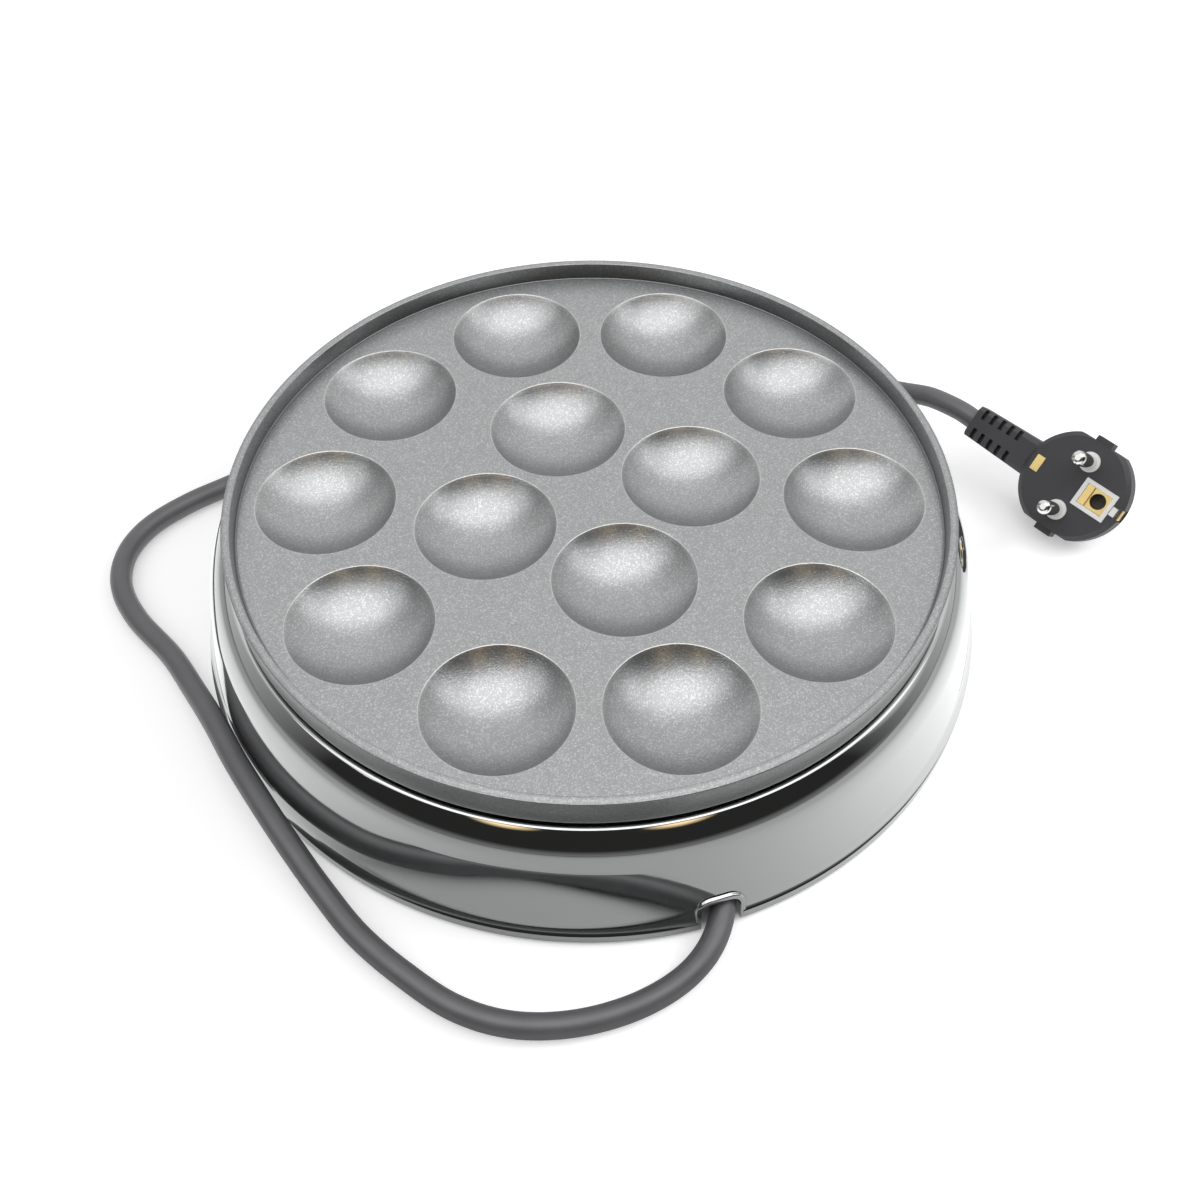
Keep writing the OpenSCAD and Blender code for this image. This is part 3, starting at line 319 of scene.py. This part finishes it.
def slot_finish(row):
    """A finish for one of the record's material slots"""
    tint = tuple(row["base_color"])
    kind = row["class"]
    if kind in METALS:
        return metal_finish(row["slot"], tint, METALS[kind])
    if kind == "rubber":
        return rubber_finish(row["slot"], tint)
    return moulded_finish(row["slot"], tint)


WHITE = (1.0, 1.0, 1.0, 1.0)
BLACK = (0.0, 0.0, 0.0, 1.0)

# Tones of the floor by distance from the middle of the base: lifted to white for the camera, apart from under
# the base, and for mirrors a painted light at both sides and painted shade far away
FLOOR_HALF = 4.0
NEAR_LIFT = {"low": 0.0, "high": 0.38, "start": 0.1215, "stop": 0.1245}
FAR_LIFT = {"low": 0.0, "high": 0.6, "start": 0.5, "stop": 1.5}
SIDE_PAINTED_LIGHT = {"low": 0.95, "high": 0.0, "start": 0.14, "stop": 0.3}
SIDE_FALLOFF = 2.6
FAR_PAINTED_SHADE = {"low": 0.0, "high": 1.0, "start": 0.4, "stop": 2.0}
FAR_TONE = 0.35


def floor_finish(studio):
    """White for the camera with the shadow kept, and in mirrors a darker grey of painted shade with painted
    light at the sides
    """
    made = Finish("pale_floor", roughness=0.9)
    path = made.add("ShaderNodeLightPath")
    glossy = path.outputs["Is Glossy Ray"]
    straight = made.math("MAXIMUM", path.outputs["Is Camera Ray"], path.outputs["Is Transmission Ray"])
    seen = made.mottle(made.noise(size=0.8, detail=1.0), studio.floor, dark=0.99, light=1.01)
    away = made.add("ShaderNodeVectorMath", {0: made.coords}, operation="LENGTH").outputs["Value"]
    across = made.add("ShaderNodeSeparateXYZ", {"Vector": made.coords}).outputs["X"]
    aside = made.math("ABSOLUTE", made.math("DIVIDE", across, away), 0.0)
    aside = made.math("POWER", aside, SIDE_FALLOFF)
    # Painted light: mirrors see the floor glow at both sides of the base
    glow = made.math("MULTIPLY", made.math("MULTIPLY", glossy, aside), made.span(away, **SIDE_PAINTED_LIGHT))
    lift = made.math("ADD", made.span(away, **NEAR_LIFT), made.span(away, **FAR_LIFT))
    lift = made.math("MULTIPLY", straight, lift)
    # Painted shade: mirrors see the floor darken far away
    far = made.span(away, **FAR_PAINTED_SHADE)
    mirrored = made.blend(far, studio.floor_shade, shade(studio.floor_shade, FAR_TONE))
    made.set(Base_Color=made.blend(glossy, seen, mirrored),
             Specular_IOR_Level=0.0, Emission_Color=WHITE,
             Emission_Strength=made.math("ADD", lift, glow))
    return made.material


# The room that only mirrors show: a round wall, dark in front, white towards the back and the ceiling
ROOM_RADIUS = 2.5
ROOM_LOW = 0.0
ROOM_HIGH = 4.2
ROOM_DARK = (0.03, 0.03, 0.029)
ROOM_BACK = {"low": 0.0, "high": 0.95, "start": -0.4 * ROOM_RADIUS, "stop": 0.7 * ROOM_RADIUS}
ROOM_FOOT = {"low": 0.24, "high": 0.0, "start": 0.0, "stop": 0.085}
CEILING_START = 0.6
CEILING_STOP = 1.02

# Its lights: place, radius of the full light, radius where it ends, colour
WARM_LIGHT = (1.9, 1.4, 0.8)
ROOM_LIGHTS = (((-0.997, -2.293, 2.0), 0.16, 0.46, WARM_LIGHT),
               ((0.997, -2.293, 2.0), 0.16, 0.46, WARM_LIGHT),
               ((2.49, 0.1, 1.4), 0.4, 0.9, WHITE[:3]))


def room_finish():
    """The wall's glow, by place and height as a share of the room's, with its lights"""
    made = Finish("room_dark", roughness=1.0)
    place = made.add("ShaderNodeSeparateXYZ", {"Vector": made.coords})
    height = made.span(place.outputs["Z"], low=0.0, high=1.0, start=ROOM_LOW, stop=ROOM_HIGH)
    back = made.span(place.outputs["Y"], **ROOM_BACK)
    ceiling = made.add("ShaderNodeMapRange",
                       {"Value": height, "From Min": CEILING_START, "From Max": CEILING_STOP},
                       interpolation_type="SMOOTHSTEP").outputs["Result"]
    foot = made.span(height, **ROOM_FOOT)
    light = made.math("MAXIMUM", made.math("MAXIMUM", ceiling, back), foot)
    tint = made.blend(light, ROOM_DARK, WHITE[:3])
    for spot, core, rim, glow in ROOM_LIGHTS:
        apart = made.add("ShaderNodeVectorMath", {0: made.coords, 1: spot}, operation="DISTANCE")
        shine = made.span(apart.outputs["Value"], low=1.0, high=0.0, start=core, stop=rim)
        tint = made.blend(shine, tint, glow)
    made.set(Base_Color=BLACK, Specular_IOR_Level=0.0, Emission_Strength=1.0, Emission_Color=tint)
    return made.material


# Shapes

# Points closer than this are one point
SAME = 1e-6

# Steps round a full turn of each lathed piece
PLATE_STEPS = 288
BOWL_STEPS = 72
BULGE_STEPS = 48
SHELL_STEPS = 300
ROOM_STEPS = 64

# Steps along the arcs of their profiles, and parts of the shell's straight wall
EDGE_ARC = 6
BOWL_ARC = 22
BULGE_ARC = 10
FLANGE_ARC = 4
ARCH_ARC = 10
OUTSIDE_ARCS = (44, 10)
INSIDE_ARCS = (14, 4)
WALL_PARTS = 6

# Flat strip of floor that each open loop keeps along it, so that the fill between the loops starts flat
FLAT_STRIP = 0.0004

# Wear and painted shade of the plate's coating: 1 is rubbed to bare metal, 0 is sound, -1 is painted shade
# The rim's corner, its edges, the outer side and the seat edge are darkened with painted shade
RIM_CORNER_SHADE = -0.7
INNER_EDGE_SHADE = -0.1
LAND_WEAR = 0.1
OUTER_EDGE_SHADE = -0.35
SIDE_SHADE = -0.45
SEAT_EDGE_SHADE = -0.8

# Wear from the last of a bowl over its lip to the floor
LIP_WEAR = (0.35, 0.7, 1.0, 1.0, 0.7, 0.35, 0.1, 0.0)

# Lean of the rim's land and of the plate's outer side where their edges begin and end, in degrees
LAND_LEAN = 4.0
SIDE_LEAN = 2.0

# The cord outlet's cut reaches this far in, out and below the flange's foot
CUT_IN = 0.02
CUT_OUT = 0.01
CUT_BELOW = 0.002

# Its collar: depth, rounding of the mouth's edges, steps of that, and the fold in radians that makes an edge
COLLAR_DEPTH = 0.004
COLLAR_EDGE = 0.0005
COLLAR_EDGE_PARTS = 3
COLLAR_CREASE = 1.0


def arc(centre, radius, start, stop, steps):
    """Points on an arc in a profile, between two angles in degrees"""
    points = []
    for step in range(steps + 1):
        angle = math.radians(start + (stop - start) * step / steps)
        points.append((centre[0] + radius * math.cos(angle), centre[1] + radius * math.sin(angle)))
    return points


def lathe(bm, profile, steps, centre=(0.0, 0.0), closed=False, wear_and_shade=None):
    """Spins a profile of (radius, height) points about an upright axis"""
    ring = [bm.verts.new((centre[0] + radius, centre[1], height)) for radius, height in profile]
    if wear_and_shade:
        layer = bm.verts.layers.float["wear_and_shade"]
        for vert, amount in zip(ring, wear_and_shade):
            vert[layer] = amount
    pairs = list(zip(ring, ring[1:])) + ([(ring[-1], ring[0])] if closed else [])
    edges = [bm.edges.new(pair) for pair in pairs]
    bmesh.ops.spin(bm, geom=ring + edges, cent=(*centre, 0.0), axis=(0.0, 0.0, 1.0),
                   angle=math.tau, steps=steps, use_merge=True)


def close_level(bm, height):
    """Fills the flat between all the open loops at one height"""
    edges = [e for e in bm.edges if e.is_boundary and all(abs(v.co.z - height) < SAME for v in e.verts)]
    if not edges:
        raise RuntimeError(f"no open loop at height {height}")
    bmesh.ops.triangle_fill(bm, edges=edges, use_beauty=True)


def new_object(bm, name):
    """Turns a bmesh into an object of the scene"""
    mesh = bpy.data.meshes.new(name)
    bm.to_mesh(mesh)
    bm.free()
    made = bpy.data.objects.new(name, mesh)
    bpy.context.scene.collection.objects.link(made)
    return made


def finish_piece(bm, name, material, sharp=35.0):
    """Turns a bmesh into a piece with smooth faces and sharp creases that rides on the root body"""
    bmesh.ops.remove_doubles(bm, verts=bm.verts, dist=SAME)
    bmesh.ops.recalc_face_normals(bm, faces=bm.faces)
    limit = math.radians(sharp)
    for face in bm.faces:
        face.smooth = True
    for edge in bm.edges:
        edge.smooth = len(edge.link_faces) == 2 and edge.calc_face_angle(0.0) < limit
    piece = new_object(bm, name)
    piece.data.materials.append(material)
    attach(piece, "root")
    return piece


def plate_profile(plate):
    """The plate's outline from the floor over the rim and down its side to the underside, with its wear and
    painted shade
    """
    floor = plate.top - plate.rim_height
    under = floor - plate.floor_thickness
    floor_radius = plate.radius - plate.rim_land - plate.rim_lean - plate.rim_fillet
    lean = math.degrees(math.atan2(plate.rim_lean, plate.rim_height - plate.rim_fillet))
    edge = plate.edge_round
    inner_corner = plate.radius - plate.rim_land
    inset = edge / math.tan(math.radians(90.0 + lean) / 2.0)
    side = plate.radius - plate.side_draft
    spigot_inner = plate.spigot_radius - plate.spigot_wall
    spigot_foot = plate.top - plate.spigot_reach
    parts = [
        ([(floor_radius - FLAT_STRIP, floor)], 0.0),
        (arc((floor_radius, floor + plate.rim_fillet), plate.rim_fillet, -90.0, -lean, EDGE_ARC),
         RIM_CORNER_SHADE),
        (arc((inner_corner + inset, plate.top - edge), edge, 180.0 - lean, 90.0, EDGE_ARC),
         INNER_EDGE_SHADE),
        ([(inner_corner + plate.rim_land / 2.0, plate.top - plate.land_fall / 2.0)], LAND_WEAR),
        (arc((plate.radius - edge, plate.top - plate.land_fall - edge), edge,
             90.0 - LAND_LEAN, SIDE_LEAN, EDGE_ARC), OUTER_EDGE_SHADE),
        ([(plate.radius - plate.side_draft / 2.0, (plate.top + plate.seat) / 2.0)], SIDE_SHADE),
        (arc((side - edge, plate.seat + edge), edge, SIDE_LEAN, -90.0, EDGE_ARC), SEAT_EDGE_SHADE),
        ([(plate.spigot_radius, plate.seat), (plate.spigot_radius, spigot_foot),
          (spigot_inner, spigot_foot), (spigot_inner, under)], 0.0),
    ]
    profile = [point for points, _ in parts for point in points]
    wear_and_shade = [amount for points, amount in parts for _ in points]
    return profile, wear_and_shade, floor, under, floor_radius


def dimple_profiles(plate, floor, under):
    """The bowl of a dimple with its rounded lip, and the bulge under it"""
    bowl = (plate.dimple_radius ** 2 + plate.dimple_depth ** 2) / (2.0 * plate.dimple_depth)
    middle = floor - plate.dimple_depth + bowl
    lip = plate.lip_round
    lip_height = floor - lip
    lip_radius = math.sqrt((bowl + lip) ** 2 - (middle - lip_height) ** 2)
    slope = math.degrees(math.asin(lip_radius / (bowl + lip)))
    cup = arc((0.0, middle), bowl, -90.0, slope - 90.0, BOWL_ARC)
    edge = arc((lip_radius, lip_height), lip, slope + 90.0, 90.0, EDGE_ARC)[1:]
    profile = [(0.0, cup[0][1])] + cup[1:] + edge + [(lip_radius + FLAT_STRIP, floor)]
    wear_and_shade = [0.0] * (len(profile) - len(LIP_WEAR)) + list(LIP_WEAR)
    outer = bowl + plate.dimple_wall
    reach = math.degrees(math.acos((middle - under) / outer))
    bulge = arc((0.0, middle), outer, -90.0, reach - 90.0, BULGE_ARC)
    bulge = [(0.0, bulge[0][1])] + bulge[1:-1] + [(outer * math.sin(math.radians(reach)), under)]
    return profile, wear_and_shade, bulge


def dimple_places(plate, floor_radius):
    """Middles of the dimples in both rings"""
    outer = floor_radius - plate.dimple_margin - plate.dimple_radius
    inner = outer - 2.0 * plate.dimple_radius - plate.ring_gap
    rings = ((outer, plate.outer_count, 0.0), (inner, plate.inner_count, plate.inner_turn))
    for radius, count, first in rings:
        for index in range(count):
            angle = first + math.tau * index / count
            yield radius * math.cos(angle), radius * math.sin(angle)


def shell_profile(shell):
    """The pressed sheet's outline, up its outside and back down its inside"""
    draft = math.degrees(shell.wall_draft)
    out = Vector((math.cos(shell.wall_draft), math.sin(shell.wall_draft)))
    up = Vector((-out.y, out.x))
    top = shell.foot + shell.flange_height
    foot = Vector((shell.flange_radius - shell.flange_width,
                   top + shell.flange_width / math.tan(shell.flare_turn)))
    corner = Vector((shell.ledge_radius, shell.top)) - foot
    off, rise = corner.dot(out), corner.dot(up)
    wall = rise - math.sqrt(-2.0 * off * shell.shoulder - off * off)
    middle = foot + wall * up - shell.shoulder * out
    round_height = shell.top - shell.ledge_round
    round_off = math.sqrt((shell.shoulder - shell.ledge_round) ** 2 - (round_height - middle.y) ** 2)
    round_middle = (middle.x + round_off, round_height)
    round_turn = math.degrees(math.atan2(round_height - middle.y, round_off))
    opening = shell.ledge_radius - shell.ledge_width
    edge = shell.flange_edge

    def line(depth, steps, round_steps):
        """The sheet's line at a depth, from the wall's foot over the shoulder to the ledge's opening"""
        wall_foot = foot - depth * out
        wall_top = middle + (shell.shoulder - depth) * out
        straight = [tuple(wall_foot.lerp(wall_top, part / WALL_PARTS)) for part in range(1, WALL_PARTS)]
        return (straight + arc(middle, shell.shoulder - depth, draft, round_turn, steps)
                + arc(round_middle, shell.ledge_round - depth, round_turn, 90.0, round_steps)[1:]
                + [(shell.ledge_radius - shell.ledge_width / 2.0, shell.top - depth),
                   (opening, shell.top - depth)])

    skirt = shell.flange_radius - shell.sheet
    deck = top - shell.sheet
    inside_foot = foot.x + (foot.y - deck) * math.tan(shell.wall_draft) - shell.sheet / out.x
    outside = ([(skirt, shell.foot), (shell.flange_radius, shell.foot)]
               + arc((shell.flange_radius - edge, top - edge * math.tan(shell.flare_turn / 2.0)), edge,
                     0.0, math.degrees(shell.flare_turn), FLANGE_ARC)
               + [tuple(foot)] + line(0.0, *OUTSIDE_ARCS))
    inside = list(reversed(line(shell.sheet, *INSIDE_ARCS))) + [(inside_foot, deck), (skirt, deck)]
    return outside + inside


def arch(shell, grow):
    """The outlet's arch, from one foot over the top to the other, as (across, height) points"""
    half = shell.outlet_width / 2.0 + grow
    height = shell.outlet_height + grow
    radius = shell.outlet_round + grow
    return ([(-half, 0.0)] + arc((radius - half, height - radius), radius, 180.0, 90.0, ARCH_ARC)
            + arc((half - radius, height - radius), radius, 90.0, 0.0, ARCH_ARC) + [(half, 0.0)])


def outlet_way(shell):
    """The direction in which the cord leaves the base"""
    return Vector((math.cos(shell.outlet_turn), math.sin(shell.outlet_turn), 0.0))


def at_outlet(shell, across, height, reach):
    """A point in the outlet's own directions: sideways, up from the flange's foot, and outwards"""
    out = outlet_way(shell)
    side = Vector((-out.y, out.x, 0.0))
    return out * reach + side * across + Vector((0.0, 0.0, shell.foot + height))


def mouth_reach(shell, across, height):
    """How far out the collar's mouth stands: it is round with the flange and leans back with the wall"""
    radius = shell.flange_radius + shell.outlet_proud - height * math.tan(shell.outlet_lean)
    return math.sqrt(radius * radius - across * across)


def chain(bm, points, closed=False):
    """Joins points by edges, in a line or a loop"""
    verts = [bm.verts.new(point) for point in points]
    ends = verts[1:] + (verts[:1] if closed else [])
    return [bm.edges.new(pair) for pair in zip(verts, ends)]


def outlet_cutter(shell):
    """A closed bmesh of what the outlet takes out of the shell"""
    cutter = bmesh.new()
    outline = arch(shell, shell.outlet_wall / 2.0)
    for reach in (shell.flange_radius - CUT_IN, shell.flange_radius + CUT_OUT):
        chain(cutter, [at_outlet(shell, across, height - CUT_BELOW, reach)
                       for across, height in outline], closed=True)
    bmesh.ops.bridge_loops(cutter, edges=cutter.edges[:])
    bmesh.ops.holes_fill(cutter, edges=cutter.edges[:], sides=0)
    bmesh.ops.recalc_face_normals(cutter, faces=cutter.faces)
    return cutter


def outlet_collar(shell):
    """A bmesh of the arched collar round the outlet, with its mouth's edges rounded"""
    collar = bmesh.new()
    edges = []
    for grow in (0.0, shell.outlet_wall):
        edges += chain(collar, [at_outlet(shell, across, height, mouth_reach(shell, across, height))
                                for across, height in arch(shell, grow)])
    made = bmesh.ops.bridge_loops(collar, edges=edges)
    mouth = {vert for face in made["faces"] for vert in face.verts}
    pushed = bmesh.ops.extrude_face_region(collar, geom=made["faces"], use_keep_orig=True)
    moved = [item for item in pushed["geom"] if isinstance(item, bmesh.types.BMVert)]
    bmesh.ops.translate(collar, verts=moved, vec=outlet_way(shell) * -COLLAR_DEPTH)
    bmesh.ops.recalc_face_normals(collar, faces=collar.faces)
    rims = [e for e in collar.edges if len(e.link_faces) == 2
            and e.calc_face_angle(0.0) > COLLAR_CREASE and mouth.issuperset(e.verts)]
    bmesh.ops.bevel(collar, geom=rims, offset=COLLAR_EDGE, offset_type="OFFSET",
                    segments=COLLAR_EDGE_PARTS, profile=0.5, affect="EDGES", material=-1)
    return collar


def cut_away(piece, bm):
    """Cuts a closed bmesh out of a piece"""
    cutter = new_object(bm, "cutter")
    mesh = cutter.data
    tool = piece.modifiers.new("cut", "BOOLEAN")
    tool.operation = "DIFFERENCE"
    tool.solver = "EXACT"
    tool.object = cutter
    cut = bpy.data.meshes.new_from_object(piece.evaluated_get(bpy.context.evaluated_depsgraph_get()))
    piece.modifiers.remove(tool)
    cut.name = piece.name
    piece.data = cut
    bpy.data.objects.remove(cutter)
    bpy.data.meshes.remove(mesh)


# The cord's route in millimetres, from its clamp inside the base to the mouth of the plug's sleeve, as in the
# part's source: its points were fitted to the cord in the photograph
CORD_ROUTE = (
    (38, -92, 7.6), (38, -103, 7.6), (35.5, -120.9, 5.2), (27.8, -133.3, 4), (14.3, -142.5, 3.8),
    (-2.9, -147.8, 3.7), (-20.3, -148.3, 3.7), (-36, -143.6, 3.7), (-50.7, -134, 3.8),
    (-64.2, -122.7, 4.1), (-75.3, -110.1, 5.4), (-86, -96.7, 7.5), (-96, -83.2, 8.9),
    (-105.6, -69.3, 9.1), (-114.4, -55, 7.8), (-123.8, -40.8, 5.2), (-133.9, -26.6, 4),
    (-148, -11.4, 3.7), (-156, 2.3, 3.7), (-157.3, 16, 3.7), (-152, 28.8, 3.7), (-140, 40.3, 3.7),
    (-120.6, 53.6, 3.7), (-107.6, 69.7, 3.7), (-94.5, 88.9, 3.7), (-79.3, 109.1, 3.7),
    (-60.3, 124.9, 3.7), (-38.1, 135.4, 3.7), (-13.8, 140.1, 3.7), (11.1, 139.8, 3.7),
    (35.3, 135.5, 3.7), (56.6, 128.6, 3.7), (73.9, 120.3, 4), (88, 111.4, 4.3), (98, 101.9, 4.5),
    (106.1, 93.2, 7.7), (114, 85.6, 12), (122.3, 78.8, 15.7), (130.7666, 70.9654, 16.992),
    (136.3662, 65.2672, 16.5733),
)

# Steps of its curve between two points, and of its roundness
CORD_CURVE_STEPS = 10
CORD_ROUND_STEPS = 7


# Studio

# Lamps: name, place, width, depth, power in watts, and whether mirrors show it
LAMPS = (("overhead", (0.05, -0.3, 1.5), 4.8, 1.25, 22.0, True),
         ("side", (1.2, 0.25, 0.9), 0.7, 0.7, 9.0, False))


def studio_world(studio):
    """Even light from all round, which the camera and mirrors see as plain white"""
    world = bpy.data.worlds.new("studio")
    world.use_nodes = True
    nodes, links = world.node_tree.nodes, world.node_tree.links
    path = nodes.new("ShaderNodeLightPath")
    seen = path.outputs["Is Camera Ray"]
    for ray in ("Is Glossy Ray", "Is Transmission Ray"):
        either = nodes.new("ShaderNodeMath")
        either.operation = "MAXIMUM"
        links.new(seen, either.inputs[0])
        links.new(path.outputs[ray], either.inputs[1])
        seen = either.outputs["Value"]
    mix = nodes.new("ShaderNodeMixShader")
    links.new(seen, mix.inputs["Fac"])
    lights = ((nodes["Background"], studio.ambient), (nodes.new("ShaderNodeBackground"), 1.0))
    for socket, (light, strength) in enumerate(lights, start=1):
        light.inputs["Color"].default_value = WHITE
        light.inputs["Strength"].default_value = strength
        links.new(light.outputs["Background"], mix.inputs[socket])
    links.new(mix.outputs["Shader"], nodes["World Output"].inputs["Surface"])
    return world


def studio_lamp(name, place, width, depth, power, mirrored):
    """An area lamp that faces the object"""
    light = bpy.data.lights.new(name, "AREA")
    light.shape = "RECTANGLE"
    light.size = width
    light.size_y = depth
    light.energy = power
    lamp = bpy.data.objects.new(name, light)
    lamp.location = place
    lamp.rotation_mode = "QUATERNION"
    lamp.rotation_quaternion = (-Vector(place)).to_track_quat("-Z", "Y")
    lamp.visible_glossy = mirrored
    return lamp


# Operators


class POFFERTJES_OT_camera(bpy.types.Operator):
    """Place the camera at the photograph's viewing angle"""
    bl_idname = "poffertjes.camera"
    bl_label = "Camera"

    def execute(self, context):
        studio = context.scene.poffertjes_studio
        lens = bpy.data.cameras.new("camera")
        lens.lens = studio.lens
        lens.sensor_width = 36.0
        lens.sensor_fit = "HORIZONTAL"
        lens.clip_start = 0.01
        camera = bpy.data.objects.new("camera", lens)
        context.scene.collection.objects.link(camera)
        place = Vector(studio.place)
        look = (Vector(studio.aim) - place).to_track_quat("-Z", "Y")
        camera.rotation_mode = "QUATERNION"
        camera.rotation_quaternion = look @ Quaternion((0.0, 0.0, 1.0), studio.roll)
        camera.location = place
        context.scene.camera = camera
        return {"FINISHED"}


class POFFERTJES_OT_cord(bpy.types.Operator):
    """Lay the mains cord from the outlet round the base to the plug"""
    bl_idname = "poffertjes.cord"
    bl_label = "Mains cord"

    def execute(self, context):
        lead = context.scene.poffertjes_lead
        points = [Vector(point) * MM for point in CORD_ROUTE]
        before = [2.0 * points[0] - points[1]] + points[:-1]
        after = points[1:] + [2.0 * points[-1] - points[-2]]
        data = bpy.data.curves.new("mains_cord", "CURVE")
        data.dimensions = "3D"
        data.resolution_u = CORD_CURVE_STEPS
        data.bevel_depth = lead.diameter / 2.0
        data.bevel_resolution = CORD_ROUND_STEPS
        data.use_fill_caps = True
        spline = data.splines.new("BEZIER")
        spline.bezier_points.add(len(points) - 1)
        for knot, here, last, coming in zip(spline.bezier_points, points, before, after):
            knot.handle_left_type = knot.handle_right_type = "FREE"
            knot.co = here
            # A sixth of the way between a point's neighbours gives one smooth curve through all points
            handle = (coming - last) / 6.0
            knot.handle_left = here - handle
            knot.handle_right = here + handle
        cord = bpy.data.objects.new("mains_cord", data)
        context.scene.collection.objects.link(cord)
        jacket = rubber_finish("cord_jacket", tuple(lead.rubber), roughness=0.4, sheen=0.9)
        data.materials.append(jacket)
        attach(cord, "root")
        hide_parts("power_cord")
        return {"FINISHED"}


class POFFERTJES_OT_plate(bpy.types.Operator):
    """Cast the baking plate with its dimples, rim and underside"""
    bl_idname = "poffertjes.plate"
    bl_label = "Baking plate"

    def execute(self, context):
        plate = context.scene.poffertjes_plate
        profile, wear_and_shade, floor, under, floor_radius = plate_profile(plate)
        bowl, bowl_wear, bulge = dimple_profiles(plate, floor, under)
        bm = bmesh.new()
        bm.verts.layers.float.new("wear_and_shade")
        lathe(bm, profile, PLATE_STEPS, wear_and_shade=wear_and_shade)
        for centre in dimple_places(plate, floor_radius):
            lathe(bm, bowl, BOWL_STEPS, centre, wear_and_shade=bowl_wear)
            lathe(bm, bulge, BULGE_STEPS, centre)
        bmesh.ops.remove_doubles(bm, verts=bm.verts, dist=SAME)
        close_level(bm, floor)
        close_level(bm, under)
        piece = finish_piece(bm, "plate_casting", coating_finish(plate))
        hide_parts("baking_plate")
        return {"FINISHED"}


class POFFERTJES_OT_shell(bpy.types.Operator):
    """Press the chromed base with its shoulder, foot flange and cord outlet"""
    bl_idname = "poffertjes.shell"
    bl_label = "Base shell"

    def execute(self, context):
        shell = context.scene.poffertjes_shell
        chrome = chrome_finish(shell)
        bm = bmesh.new()
        lathe(bm, shell_profile(shell), SHELL_STEPS, closed=True)
        piece = finish_piece(bm, "shell_pressing", chrome)
        cut_away(piece, outlet_cutter(shell))
        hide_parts("base_shell")
        finish_piece(outlet_collar(shell), "outlet_collar", chrome)
        return {"FINISHED"}


class POFFERTJES_OT_finishes(bpy.types.Operator):
    """Give every carried-over piece its own procedural finish"""
    bl_idname = "poffertjes.finishes"
    bl_label = "Finishes"

    def execute(self, context):
        rows = {row["slot"]: slot_finish(row) for row in frame["record"]["materials"]}
        for name, node in NODES.items():
            node.data.materials.clear()
            node.data.materials.append(rows[SLOTS[name]])
        return {"FINISHED"}


class POFFERTJES_OT_studio(bpy.types.Operator):
    """Set up the pale floor, the room that mirrors show, the world and the lamps"""
    bl_idname = "poffertjes.studio"
    bl_label = "Studio"

    def execute(self, context):
        studio = context.scene.poffertjes_studio
        scene = context.scene
        scene.view_settings.view_transform = "Standard"

        bm = bmesh.new()
        bmesh.ops.create_grid(bm, x_segments=4, y_segments=4, size=FLOOR_HALF)
        floor = new_object(bm, "floor")
        floor.data.materials.append(floor_finish(studio))

        bm = bmesh.new()
        lathe(bm, [(ROOM_RADIUS, ROOM_LOW), (ROOM_RADIUS, ROOM_HIGH)], ROOM_STEPS)
        room = new_object(bm, "room_wall")
        room.data.materials.append(room_finish())
        room.visible_camera = room.visible_diffuse = room.visible_shadow = False
        room.visible_transmission = room.visible_volume_scatter = False

        scene.world = studio_world(studio)
        for row in LAMPS:
            scene.collection.objects.link(studio_lamp(*row))
        return {"FINISHED"}


OPERATORS = (POFFERTJES_OT_camera, POFFERTJES_OT_cord, POFFERTJES_OT_plate, POFFERTJES_OT_shell,
             POFFERTJES_OT_finishes, POFFERTJES_OT_studio)
GROUPS = (("poffertjes_plate", PlateSettings), ("poffertjes_shell", ShellSettings),
          ("poffertjes_lead", LeadSettings), ("poffertjes_studio", StudioSettings))


class POFFERTJES_PT_panel(bpy.types.Panel):
    """Settings and steps of the poffertjes maker"""
    bl_idname = "POFFERTJES_PT_panel"
    bl_label = "Poffertjes maker"
    bl_space_type = "VIEW_3D"
    bl_region_type = "UI"
    bl_category = "Poffertjes"

    def draw(self, context):
        for operator in OPERATORS:
            self.layout.operator(operator.bl_idname)
        for attribute, group in GROUPS:
            column = self.layout.box().column()
            column.label(text=group.__doc__)
            for name in group.__annotations__:
                column.prop(getattr(context.scene, attribute), name)


CLASSES = tuple(group for _, group in GROUPS) + OPERATORS + (POFFERTJES_PT_panel,)


def register():
    for made in CLASSES:
        bpy.utils.register_class(made)
    for attribute, group in GROUPS:
        setattr(bpy.types.Scene, attribute, PointerProperty(type=group))


def unregister():
    for attribute, _ in GROUPS:
        delattr(bpy.types.Scene, attribute)
    for made in reversed(CLASSES):
        bpy.utils.unregister_class(made)


def main():
    register()
    bpy.ops.poffertjes.camera()
    bpy.ops.poffertjes.cord()
    bpy.ops.poffertjes.plate()
    bpy.ops.poffertjes.shell()
    bpy.ops.poffertjes.finishes()
    bpy.ops.poffertjes.studio()


if __name__ == "__main__":
    main()
